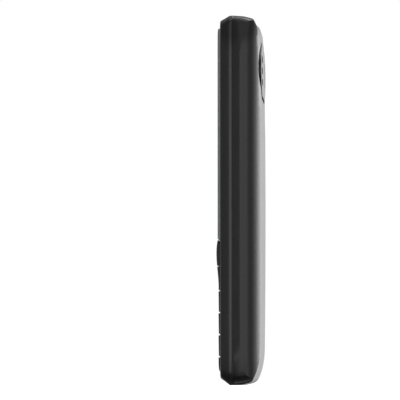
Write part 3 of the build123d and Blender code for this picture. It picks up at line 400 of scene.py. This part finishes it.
woven_steel = new_finish("black_woven_steel_mesh")
mesh_place = add(woven_steel, "TexCoord", {}).outputs["Object"]
warp = add(woven_steel, "TexWave", {"Vector": mesh_place, "Scale": wave_scale(mesh_pitch)},
           wave_type="BANDS", bands_direction="X")
weft = add(woven_steel, "TexWave", {"Vector": mesh_place, "Scale": wave_scale(mesh_pitch)},
           wave_type="BANDS", bands_direction="Z")
weave = add(woven_steel, "Math", {0: warp.outputs["Fac"], 1: weft.outputs["Fac"]}, operation="MULTIPLY")
# The colour follows the weave's relief: near black in its hollows as painted shade, and a lighter grey on the
# raised crossings as a painted highlight.
weave_tone_and_painted_shade = add(woven_steel, "MixRGB", {"Fac": weave.outputs["Value"], "Color1": linear("#060606"),
                                        "Color2": linear("#3a3a3c")})
wire_relief = add(woven_steel, "Bump", {"Height": weave.outputs["Value"], "Distance": 0.08 * MM})
wire_body = add(woven_steel, "BsdfPrincipled", {"Base Color": weave_tone_and_painted_shade.outputs["Color"], "Metallic": 0.6,
                                                "Roughness": 0.45, "Normal": wire_relief.outputs["Normal"]})
add(woven_steel, "OutputMaterial", {"Surface": wire_body.outputs["BSDF"]})
dress(woven_steel, "earpiece_mesh")
finished_shell("speaker_weave", "speaker_mesh", "rear_cover", woven_steel)

# ---------------------------------------------------------------- display lens
# Clear acrylic, hard coated in front and printed black on its back round the picture. Its
# milled edge is finely scratched and fills with light, so it reads as a pale grey line.
view_half_width = 21.6 * MM
view_low = -8.3 * MM
view_high = 49.3 * MM
hard_coated_acrylic = new_finish("hard_coated_acrylic")
lens_place = add(hard_coated_acrylic, "TexCoord", {}).outputs["Object"]
lens_axes = add(hard_coated_acrylic, "SeparateXYZ", {"Vector": lens_place})
lens_facing = add(hard_coated_acrylic, "SeparateXYZ",
                  {"Vector": add(hard_coated_acrylic, "NewGeometry", {}).outputs["True Normal"]})
across_view = add(hard_coated_acrylic, "Math", {0: lens_axes.outputs["X"]}, operation="ABSOLUTE")
inside_width = add(hard_coated_acrylic, "Math", {0: across_view.outputs["Value"], 1: view_half_width},
                   operation="LESS_THAN")
above_foot = add(hard_coated_acrylic, "Math", {0: lens_axes.outputs["Z"], 1: view_low},
                 operation="GREATER_THAN")
below_head = add(hard_coated_acrylic, "Math", {0: lens_axes.outputs["Z"], 1: view_high},
                 operation="LESS_THAN")
inside_height = add(hard_coated_acrylic, "Math", {0: above_foot.outputs["Value"],
                                                  1: below_head.outputs["Value"]}, operation="MULTIPLY")
picture = add(hard_coated_acrylic, "Math", {0: inside_width.outputs["Value"],
                                            1: inside_height.outputs["Value"]}, operation="MULTIPLY")
back_face = add(hard_coated_acrylic, "Math", {0: lens_facing.outputs["Y"], 1: 0.5},
                operation="GREATER_THAN")
unprinted = add(hard_coated_acrylic, "Math", {0: 1.0, 1: picture.outputs["Value"]}, operation="SUBTRACT")
printed = add(hard_coated_acrylic, "Math", {0: back_face.outputs["Value"], 1: unprinted.outputs["Value"]},
              operation="MULTIPLY")
sideways = add(hard_coated_acrylic, "Math", {0: lens_facing.outputs["Y"]}, operation="ABSOLUTE")
milled = add(hard_coated_acrylic, "Math", {0: sideways.outputs["Value"], 1: 0.3}, operation="LESS_THAN")
coat_haze = add(hard_coated_acrylic, "TexNoise", {"Vector": lens_place, "Scale": 1 / (6 * MM)})
coat_gloss = add(hard_coated_acrylic, "MapRange", {"Value": coat_haze.outputs["Fac"], "To Min": 0.02,
                                                   "To Max": 0.06})
clear_body = add(hard_coated_acrylic, "BsdfPrincipled", {"Base Color": linear("#f4f7f7"), "IOR": 1.49,
                                                         "Roughness": coat_gloss.outputs["Result"],
                                                         "Transmission Weight": 1.0})
cutter_lines = add(hard_coated_acrylic, "TexNoise", {"Vector": lens_place, "Scale": 1 / (0.25 * MM),
                                                     "Detail": 4.0})
edge_tone = add(hard_coated_acrylic, "MixRGB", {"Fac": cutter_lines.outputs["Fac"],
                                                "Color1": linear("#7c7e80"), "Color2": linear("#8a8c8e")})
edge_body = add(hard_coated_acrylic, "BsdfPrincipled", {"Base Color": edge_tone.outputs["Color"],
                                                        "Roughness": 0.35, "IOR": 1.49})
print_speckle = add(hard_coated_acrylic, "TexNoise", {"Vector": lens_place, "Scale": 1 / (0.5 * MM)})
print_tone = add(hard_coated_acrylic, "MixRGB", {"Fac": print_speckle.outputs["Fac"],
                                                 "Color1": linear("#060606"), "Color2": linear("#0a0a0b")})
print_body = add(hard_coated_acrylic, "BsdfPrincipled", {"Base Color": print_tone.outputs["Color"],
                                                         "Roughness": 0.6, "IOR": 1.1})
with_edge = add(hard_coated_acrylic, "MixShader", {0: milled.outputs["Value"], 1: clear_body.outputs["BSDF"],
                                                   2: edge_body.outputs["BSDF"]})
with_print = add(hard_coated_acrylic, "MixShader", {0: printed.outputs["Value"],
                                                    1: with_edge.outputs["Shader"],
                                                    2: print_body.outputs["BSDF"]})
add(hard_coated_acrylic, "OutputMaterial", {"Surface": with_print.outputs["Shader"]})
dress(hard_coated_acrylic, "display_lens")

# The lens is held by a die-cut ring of closed-cell foam tape; the speaker's gasket is the same.
foam_tape = new_finish("black_foam_tape")
foam_cells = add(foam_tape, "TexVoronoi", {"Vector": add(foam_tape, "TexCoord", {}).outputs["Object"],
                                           "Scale": 1 / (0.3 * MM)})
# The cells are painted darker at the bottoms of their dimples: painted shade in the hollows of the foam.
cell_tone_and_painted_shade = add(foam_tape, "MixRGB", {"Fac": foam_cells.outputs["Distance"], "Color1": linear("#0b0b0b"),
                                      "Color2": linear("#1c1c1c")})
foam_relief = add(foam_tape, "Bump", {"Height": foam_cells.outputs["Distance"], "Distance": 0.05 * MM})
foam_body = add(foam_tape, "BsdfPrincipled", {"Base Color": cell_tone_and_painted_shade.outputs["Color"], "Roughness": 0.9,
                                              "Normal": foam_relief.outputs["Normal"]})
add(foam_tape, "OutputMaterial", {"Surface": foam_body.outputs["BSDF"]})
dress(foam_tape, "lens_tape", "speaker_gasket")

# ---------------------------------------------------------------- display panel
# Liquid crystal glass with a polariser film on it, switched off: a neutral, almost black grey.
pixel_pitch = 0.6
display_glass = new_finish("polarised_display_glass")
panel_place = add(display_glass, "TexCoord", {}).outputs["Object"]
pixel_rows = add(display_glass, "TexWave", {"Vector": panel_place, "Scale": wave_scale(pixel_pitch)},
                 wave_type="BANDS", bands_direction="Z")
pixel_tone = add(display_glass, "MixRGB", {"Fac": pixel_rows.outputs["Fac"], "Color1": linear("#14171a"),
                                           "Color2": linear("#191c20")})
panel_body = add(display_glass, "BsdfPrincipled", {"Base Color": pixel_tone.outputs["Color"],
                                                   "Roughness": 0.12, "IOR": 1.52})
add(display_glass, "OutputMaterial", {"Surface": panel_body.outputs["BSDF"]})
dress(display_glass, "display_panel")

# ---------------------------------------------------------------- steel pieces
# Tray, shield cans, card sockets, motor and USB shell are blanked and folded from cold
# rolled stainless strip: fine rolling lines along the strip, duller than plating.


def rolled_steel(name, colour, roughness):
    """Cold rolled strip with its rolling lines along Z."""
    finish = new_finish(name)
    place = add(finish, "Mapping", {"Vector": add(finish, "TexCoord", {}).outputs["Object"],
                                    "Scale": (1.0, 1.0, 0.04)})
    lines = add(finish, "TexNoise", {"Vector": place.outputs["Vector"], "Scale": 1 / (0.12 * MM),
                                     "Detail": 3.0})
    tone = add(finish, "MixRGB", {"Fac": lines.outputs["Fac"], "Color1": linear(colour),
                                  "Color2": linear("#c8c8c6")})
    gloss = add(finish, "MapRange", {"Value": lines.outputs["Fac"], "To Min": roughness * 0.8,
                                     "To Max": roughness * 1.3})
    relief = add(finish, "Bump", {"Height": lines.outputs["Fac"], "Distance": 0.002 * MM})
    body = add(finish, "BsdfPrincipled", {"Base Color": tone.outputs["Color"], "Metallic": 1.0,
                                          "Roughness": gloss.outputs["Result"],
                                          "Normal": relief.outputs["Normal"]})
    add(finish, "OutputMaterial", {"Surface": body.outputs["BSDF"]})
    return finish


stainless_strip = rolled_steel("rolled_stainless_strip", "#a4a5a6", 0.3)
dress(stainless_strip, "display_tray", "shield_can_radio", "shield_can_processor", "sim_socket_one",
      "sim_socket_two", "memory_card_socket", "vibration_motor", "usb_socket", "microphone")

# Chassis screws: cold headed and zinc plated, a little bluer and brighter than the strip.
zinc_plated_steel = rolled_steel("zinc_plated_screws", "#b4b8be", 0.22)
dress(zinc_plated_steel, "chassis_screws")

# ---------------------------------------------------------------- keys
# Each cap is moulded in black PC and hard coated, with its legend printed on in pale ink.
coated_pc = moulded_plastic("hard_coated_black_pc", "#18181a", "#1d1d1f",
                            roughness=0.27, grain=0.4, depth=0.0003, edge=0.2)
number_keys = {"key_1": "1", "key_2": "2", "key_3": "3", "key_4": "4", "key_5": "5", "key_6": "6",
               "key_7": "7", "key_8": "8", "key_9": "9", "key_star": "*", "key_0": "0", "key_hash": "#"}
dress(coated_pc, *number_keys, "soft_key_left", "soft_key_right", "call_key", "end_key", "ok_key")

# Legends: screen-printed white ink, slightly speckled where the ink is thin.
legend_height = 3.6 * MM
legend_rise = 0.02 * MM
stroke_spread = 0.03 * MM
star_size = 1.5
star_drop = 0.9 * MM
key_tilt = math.radians(0.9)
white_ink = new_finish("printed_white_ink")
ink_speckle = add(white_ink, "TexNoise", {"Vector": add(white_ink, "TexCoord", {}).outputs["Object"],
                                          "Scale": 1 / (0.25 * MM), "Detail": 2.0})
ink_tone = add(white_ink, "MixRGB", {"Fac": ink_speckle.outputs["Fac"], "Color1": linear("#e4e4e2"),
                                     "Color2": linear("#9a9a98")})
ink_body = add(white_ink, "BsdfPrincipled", {"Base Color": ink_tone.outputs["Color"], "Roughness": 0.5})
add(white_ink, "OutputMaterial", {"Surface": ink_body.outputs["BSDF"]})
for key, sign in number_keys.items():
    low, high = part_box(key)
    half_height = (high[2] - low[2]) / 2
    letter = bpy.data.curves.new("legend_" + key, "FONT")
    letter.body = sign
    letter.size = legend_height * (star_size if sign == "*" else 1.0)
    letter.align_x = "CENTER"
    letter.align_y = "CENTER"
    letter.extrude = legend_rise
    letter.offset = stroke_spread
    letter.materials.append(white_ink)
    legend = bpy.data.objects.new("legend_" + key, letter)
    drop = star_drop if sign == "*" else 0.0
    legend.location = ((low[0] + high[0]) / 2, low[1] + half_height * math.tan(key_tilt),
                       (low[2] + high[2]) / 2 - drop)
    legend.rotation_euler = (math.pi / 2 + key_tilt, 0, 0)
    scene.collection.objects.link(legend)
    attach(legend, key)

# The middle key has the raised pip that a thumb looks for.
pip_radius = 0.45 * MM
pip_rise = 0.16 * MM
pip_sink = 0.1 * MM
pip_above_edge = 1.1 * MM
pip_steps = 20
pip_low, pip_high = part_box("key_5")
pip_profile = [(pip_radius, 0.0), (pip_radius * 0.9, -pip_rise * 0.45), (pip_radius * 0.6, -pip_rise * 0.85),
               (0, -pip_rise)]
middle_pip = lathe("middle_key_pip", pip_profile,
                   Vector(((pip_low[0] + pip_high[0]) / 2, pip_low[1] + pip_sink,
                           pip_low[2] + pip_above_edge)), pip_steps)
middle_pip.data.materials.append(coated_pc)
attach(middle_pip, "key_5")

# ---------------------------------------------------------------- navigation ring
# Moulded in ABS and bright chrome plated: a mirror with the slight waviness of the moulding.
plated_abs = new_finish("chrome_plated_abs")
plate_place = add(plated_abs, "TexCoord", {}).outputs["Object"]
plate_wave = add(plated_abs, "TexNoise", {"Vector": plate_place, "Scale": 1 / (3 * MM), "Detail": 1.0})
plate_relief = add(plated_abs, "Bump", {"Height": plate_wave.outputs["Fac"], "Distance": 0.01 * MM,
                                        "Strength": 0.6})
plate_gloss = add(plated_abs, "MapRange", {"Value": plate_wave.outputs["Fac"], "To Min": 0.06,
                                           "To Max": 0.14})
plate_body = add(plated_abs, "BsdfPrincipled", {"Base Color": linear("#d6d8da"), "Metallic": 1.0,
                                                "Roughness": plate_gloss.outputs["Result"],
                                                "Normal": plate_relief.outputs["Normal"]})
add(plated_abs, "OutputMaterial", {"Surface": plate_body.outputs["BSDF"]})
dress(plated_abs, "navigation_ring")

# ---------------------------------------------------------------- keypad layers
# Under the caps: a silicone mat, a polyester sheet of snap domes and four white diodes.
silicone_rubber = new_finish("grey_silicone_rubber")
mat_bloom = add(silicone_rubber, "TexNoise",
                {"Vector": add(silicone_rubber, "TexCoord", {}).outputs["Object"], "Scale": 1 / (1.5 * MM),
                 "Detail": 4.0})
mat_tone = add(silicone_rubber, "MixRGB", {"Fac": mat_bloom.outputs["Fac"], "Color1": linear("#8b8e92"),
                                           "Color2": linear("#9da0a4")})
mat_body = add(silicone_rubber, "BsdfPrincipled", {"Base Color": mat_tone.outputs["Color"],
                                                   "Roughness": 0.65, "IOR": 1.41,
                                                   "Sheen Weight": 0.15})
add(silicone_rubber, "OutputMaterial", {"Surface": mat_body.outputs["BSDF"]})
dress(silicone_rubber, "keymat")

polyester_film = new_finish("milky_polyester_film")
film_haze = add(polyester_film, "TexNoise", {"Vector": add(polyester_film, "TexCoord", {}).outputs["Object"],
                                             "Scale": 1 / (3 * MM)})
film_tone = add(polyester_film, "MixRGB", {"Fac": film_haze.outputs["Fac"], "Color1": linear("#d3d3cd"),
                                           "Color2": linear("#e2e2dc")})
film_body = add(polyester_film, "BsdfPrincipled", {"Base Color": film_tone.outputs["Color"],
                                                   "Roughness": 0.3, "IOR": 1.6})
add(polyester_film, "OutputMaterial", {"Surface": film_body.outputs["BSDF"]})
dress(polyester_film, "dome_sheet")

diode_resin = new_finish("phosphor_diode_resin")
resin_grain = add(diode_resin, "TexNoise", {"Vector": add(diode_resin, "TexCoord", {}).outputs["Object"],
                                            "Scale": 1 / (0.2 * MM)})
resin_tone = add(diode_resin, "MixRGB", {"Fac": resin_grain.outputs["Fac"], "Color1": linear("#efe6a8"),
                                         "Color2": linear("#f6f2d8")})
resin_body = add(diode_resin, "BsdfPrincipled", {"Base Color": resin_tone.outputs["Color"],
                                                 "Roughness": 0.4})
add(diode_resin, "OutputMaterial", {"Surface": resin_body.outputs["BSDF"]})
dress(diode_resin, "keypad_leds")

# ---------------------------------------------------------------- main board
# Glass-epoxy laminate under green solder mask: copper tracks lift the mask in pale lines.
track_pitch = 0.9
solder_mask = new_finish("green_solder_mask")
board_place = add(solder_mask, "TexCoord", {}).outputs["Object"]
board_turn = add(solder_mask, "Mapping", {"Vector": board_place, "Rotation": (math.pi / 2, 0, 0)})
tracks = add(solder_mask, "TexBrick", {"Vector": board_turn.outputs["Vector"],
                                       "Scale": 1 / (track_pitch * MM) / 4, "Color1": linear("#0f4a2c"),
                                       "Color2": linear("#125433"), "Mortar": linear("#2c7a4c"),
                                       "Mortar Size": 0.03, "Bias": 0.1})
track_relief = add(solder_mask, "Bump", {"Height": tracks.outputs["Fac"], "Distance": 0.03 * MM})
board_body = add(solder_mask, "BsdfPrincipled", {"Base Color": tracks.outputs["Color"], "Roughness": 0.35,
                                                 "Normal": track_relief.outputs["Normal"]})
add(solder_mask, "OutputMaterial", {"Surface": board_body.outputs["BSDF"]})
dress(solder_mask, "main_board")

# Battery contacts: phosphor bronze blades with a gold flash.
gold_flash = rolled_steel("gold_flashed_bronze", "#c9952f", 0.2)
dress(gold_flash, "battery_blades")

# Small moulded blocks: black liquid-crystal polymer, dull and slightly streaked by its glass.
filled_polymer = moulded_plastic("glass_filled_black_polymer", "#17171a", "#242427",
                                 roughness=0.5, grain=0.25, depth=0.004, edge=0.1)
dress(filled_polymer, "battery_connector", "loudspeaker", "earpiece", "headphone_jack", "usb_insert")

# ---------------------------------------------------------------- rear chassis
# Inner frame, moulded in glass-filled nylon in an eroded tool: a dull, grainy charcoal.
filled_nylon = moulded_plastic("glass_filled_nylon", "#1f1f21", "#29292b",
                               roughness=0.6, grain=0.35, depth=0.008, edge=0.15)
dress(filled_nylon, "rear_chassis")

# Antenna: copper tracks laminated in amber polyimide film.
track_spacing = 4
polyimide = new_finish("polyimide_film_antenna")
film_place = add(polyimide, "TexCoord", {}).outputs["Object"]
film_bands = add(polyimide, "TexWave", {"Vector": film_place, "Scale": wave_scale(track_spacing)},
                 wave_type="BANDS", bands_direction="X")
band_edge = add(polyimide, "Math", {0: film_bands.outputs["Fac"], 1: 0.55}, operation="GREATER_THAN")
band_tone = add(polyimide, "MixRGB", {"Fac": band_edge.outputs["Value"], "Color1": linear("#3a2410"),
                                      "Color2": linear("#9a5f2c")})
film_shine = add(polyimide, "BsdfPrincipled", {"Base Color": band_tone.outputs["Color"], "Metallic": 0.3,
                                               "Roughness": 0.25})
add(polyimide, "OutputMaterial", {"Surface": film_shine.outputs["BSDF"]})
dress(polyimide, "antenna")

# ---------------------------------------------------------------- battery
# Flat lithium cell in a printed polyester wrap, left plain: a satin silver-grey film.
polyester_wrap = new_finish("silver_polyester_wrap")
wrap_place = add(polyester_wrap, "TexCoord", {}).outputs["Object"]
wrap_flow = add(polyester_wrap, "TexNoise", {"Vector": wrap_place, "Scale": 1 / (9 * MM), "Detail": 3.0})
wrap_tone = add(polyester_wrap, "MixRGB", {"Fac": wrap_flow.outputs["Fac"], "Color1": linear("#b6b8bb"),
                                           "Color2": linear("#c6c8ca")})
wrap_relief = add(polyester_wrap, "Bump", {"Height": wrap_flow.outputs["Fac"], "Distance": 0.05 * MM})
wrap_body = add(polyester_wrap, "BsdfPrincipled", {"Base Color": wrap_tone.outputs["Color"],
                                                   "Roughness": 0.38, "Metallic": 0.25,
                                                   "Normal": wrap_relief.outputs["Normal"]})
add(polyester_wrap, "OutputMaterial", {"Surface": wrap_body.outputs["BSDF"]})
dress(polyester_wrap, "battery")

# ---------------------------------------------------------------- studio
# Pale floor and white surroundings. The floor takes the phone's shadow, and what the camera and
# the glass see of the surroundings is plain white.
floor_half = 4.0
floor_level = cad_box[0][2]
floor_mesh = bpy.data.meshes.new("floor")
floor_mesh.from_pydata([(-floor_half, -floor_half, floor_level), (floor_half, -floor_half, floor_level),
                        (floor_half, floor_half, floor_level), (-floor_half, floor_half, floor_level)],
                       [], [(0, 1, 2, 3)])
floor = bpy.data.objects.new("floor", floor_mesh)
scene.collection.objects.link(floor)
pale_paper = new_finish("pale_backdrop_paper")
paper_path = add(pale_paper, "LightPath", {})
paper_seen = add(pale_paper, "Math", {0: paper_path.outputs["Is Camera Ray"],
                                      1: paper_path.outputs["Is Glossy Ray"]}, operation="ADD")
paper_seen = add(pale_paper, "Math", {0: paper_seen.outputs["Value"],
                                      1: paper_path.outputs["Is Transmission Ray"]}, operation="ADD")
paper_level = 0.6
paper_glow = add(pale_paper, "Math", {0: paper_seen.outputs["Value"], 1: paper_level},
                 operation="MULTIPLY")
paper_grain = add(pale_paper, "TexNoise", {"Vector": add(pale_paper, "TexCoord", {}).outputs["Object"],
                                           "Scale": 1 / (2 * MM)})
paper_tone = add(pale_paper, "MixRGB", {"Fac": paper_grain.outputs["Fac"], "Color1": linear("#f4f4f4"),
                                        "Color2": linear("#f8f8f8")})
paper_body = add(pale_paper, "BsdfPrincipled", {"Base Color": paper_tone.outputs["Color"],
                                                "Roughness": 0.9, "Emission Color": linear("#ffffff"),
                                                "Emission Strength": paper_glow.outputs["Value"]})
add(pale_paper, "OutputMaterial", {"Surface": paper_body.outputs["BSDF"]})
floor_mesh.materials.append(pale_paper)

world = bpy.data.worlds.new("studio")
scene.world = world
world.use_nodes = True
world.node_tree.nodes.clear()
room_path = add(world, "LightPath", {})
room_seen = add(world, "Math", {0: room_path.outputs["Is Camera Ray"],
                                1: room_path.outputs["Is Glossy Ray"]}, operation="ADD")
room_seen = add(world, "Math", {0: room_seen.outputs["Value"],
                                1: room_path.outputs["Is Transmission Ray"]}, operation="ADD")
room_light = 0.45
room_level = add(world, "MapRange", {"Value": room_seen.outputs["Value"], "To Min": room_light,
                                     "To Max": 1.0})
room = add(world, "Background", {"Color": (1, 1, 1, 1), "Strength": room_level.outputs["Result"]})
add(world, "OutputWorld", {"Surface": room.outputs["Background"]})

# Reflector boards stand all round, out of the picture, and only gloss sees them. Their levels
# run over the bearing in degrees from +X towards +Y, and over the height in degrees from level,
# and 1 is white. The flank looks at grey boards between two bright strips, the haunch at a bright
# board behind the phone, and the lower end at a dark table edge.
reflector_radius = 2.0
board_levels = [(-180, 0.6), (-120, 1.0), (-95, 1.0), (-60, 0.4), (-25, 0.38), (-17, 2.5), (-9, 0.33),
                (3, 0.31), (5, 1.4), (10, 0.98), (42, 1.0), (56, 0.45), (76, 0.45), (100, 1.5), (114, 2.7),
                (132, 3.2), (150, 2.1), (172, 0.8), (180, 0.7)]
height_levels = [(-90, 0.6), (-65, 0.1), (-40, 0.06), (-10, 1.0), (8, 1.0), (17, 0.5), (46, 0.5), (64, 1.5),
                 (90, 1.5)]
brightest = 3.5
reflector_form = bmesh.new()
bmesh.ops.create_icosphere(reflector_form, subdivisions=4, radius=reflector_radius)
reflector_mesh = bpy.data.meshes.new("reflectors")
reflector_form.to_mesh(reflector_mesh)
reflector_form.free()
reflectors = bpy.data.objects.new("reflectors", reflector_mesh)
scene.collection.objects.link(reflectors)
graded_boards = new_finish("graded_reflector_boards")
board_place = add(graded_boards, "TexCoord", {}).outputs["Object"]
board_axes = add(graded_boards, "SeparateXYZ", {"Vector": board_place})
board_bearing = add(graded_boards, "Math", {0: board_axes.outputs["Y"], 1: board_axes.outputs["X"]},
                    operation="ARCTAN2")
board_height = add(graded_boards, "Math", {0: board_axes.outputs["Z"], 1: reflector_radius},
                   operation="DIVIDE")
board_height = add(graded_boards, "Math", {0: board_height.outputs["Value"]}, operation="ARCSINE")


def graded(angle, reach, stops):
    """A level that follows stops of (degrees, level) over an angle from -reach to reach."""
    share = add(graded_boards, "MapRange", {"Value": angle.outputs["Value"], "From Min": math.radians(-reach),
                                            "From Max": math.radians(reach)})
    ramp = add(graded_boards, "ValToRGB", {"Fac": share.outputs["Result"]})
    marks = ramp.color_ramp.elements
    while len(marks) < len(stops):
        marks.new(1.0)
    for mark, (degrees, level) in zip(marks, stops):
        mark.position = (degrees + reach) / (2 * reach)
        mark.color = (level / brightest, level / brightest, level / brightest, 1)
    return ramp


around = graded(board_bearing, 180, board_levels)
upward = graded(board_height, 90, height_levels)
board_level = add(graded_boards, "Math", {0: around.outputs["Color"], 1: upward.outputs["Color"]},
                  operation="MULTIPLY")
board_level = add(graded_boards, "Math", {0: board_level.outputs["Value"], 1: brightest ** 2},
                  operation="MULTIPLY")
board_glow = add(graded_boards, "Emission", {"Color": (1, 1, 1, 1), "Strength": board_level.outputs["Value"]})
add(graded_boards, "OutputMaterial", {"Surface": board_glow.outputs["Emission"]})
reflector_mesh.materials.append(graded_boards)
reflectors.visible_camera = False
reflectors.visible_diffuse = False
reflectors.visible_transmission = False
reflectors.visible_shadow = False
floor.visible_glossy = False


def softbox(name, bearing, height, distance, width, tall, level):
    """Area lamp on a bearing in degrees from +X towards +Y; level is how bright its face looks."""
    lamp = bpy.data.lights.new(name, "AREA")
    lamp.shape = "RECTANGLE"
    lamp.size = width
    lamp.size_y = tall
    lamp.energy = level * math.pi * width * tall
    stand = bpy.data.objects.new(name, lamp)
    stand.location = (distance * math.cos(math.radians(bearing)), distance * math.sin(math.radians(bearing)),
                      height)
    stand.rotation_euler = Vector(stand.location).to_track_quat("Z", "Y").to_euler()
    stand.visible_glossy = False
    scene.collection.objects.link(stand)


softbox("side_softbox", bearing=32, height=0.0, distance=1.2, width=0.75, tall=1.9, level=0.8)
softbox("top_softbox", bearing=90, height=1.6, distance=0.3, width=1.6, tall=1.6, level=1.0)
softbox("front_softbox", bearing=-120, height=0.7, distance=1.7, width=1.0, tall=1.0, level=1.2)

# ---------------------------------------------------------------- camera
# A long lens level with the phone's foot, square on to the right flank and a little behind it.
# It is turned so that the flank's middle falls beside the middle of the picture.
frame_pixels = 400
mm_per_pixel = 0.339
flank_middle = Vector((cad_box[1][0], 0, 0))
flank_middle_pixel = (238.99, 199.1)
camera_bearing = math.radians(92.4)
camera_distance = 1.04
camera_level = -61 * MM
camera_place = flank_middle + Vector((camera_distance * math.sin(camera_bearing),
                                      -camera_distance * math.cos(camera_bearing), camera_level))
to_flank = flank_middle - camera_place
image_right = to_flank.cross(Vector((0, 0, 1))).normalized()
image_up = image_right.cross(to_flank).normalized()
aim = (flank_middle - image_right * (flank_middle_pixel[0] - frame_pixels / 2) * mm_per_pixel * MM
       + image_up * (flank_middle_pixel[1] - frame_pixels / 2) * mm_per_pixel * MM)
camera_data = bpy.data.cameras.new("camera")
sensor_width = 36
camera_data.sensor_width = sensor_width
camera_data.lens = sensor_width * to_flank.length / (frame_pixels * mm_per_pixel * MM)
camera = bpy.data.objects.new("camera", camera_data)
camera.location = camera_place
camera.rotation_euler = (aim - camera_place).to_track_quat("-Z", "Y").to_euler()
scene.collection.objects.link(camera)
scene.camera = camera

scene.view_settings.view_transform = "Standard"
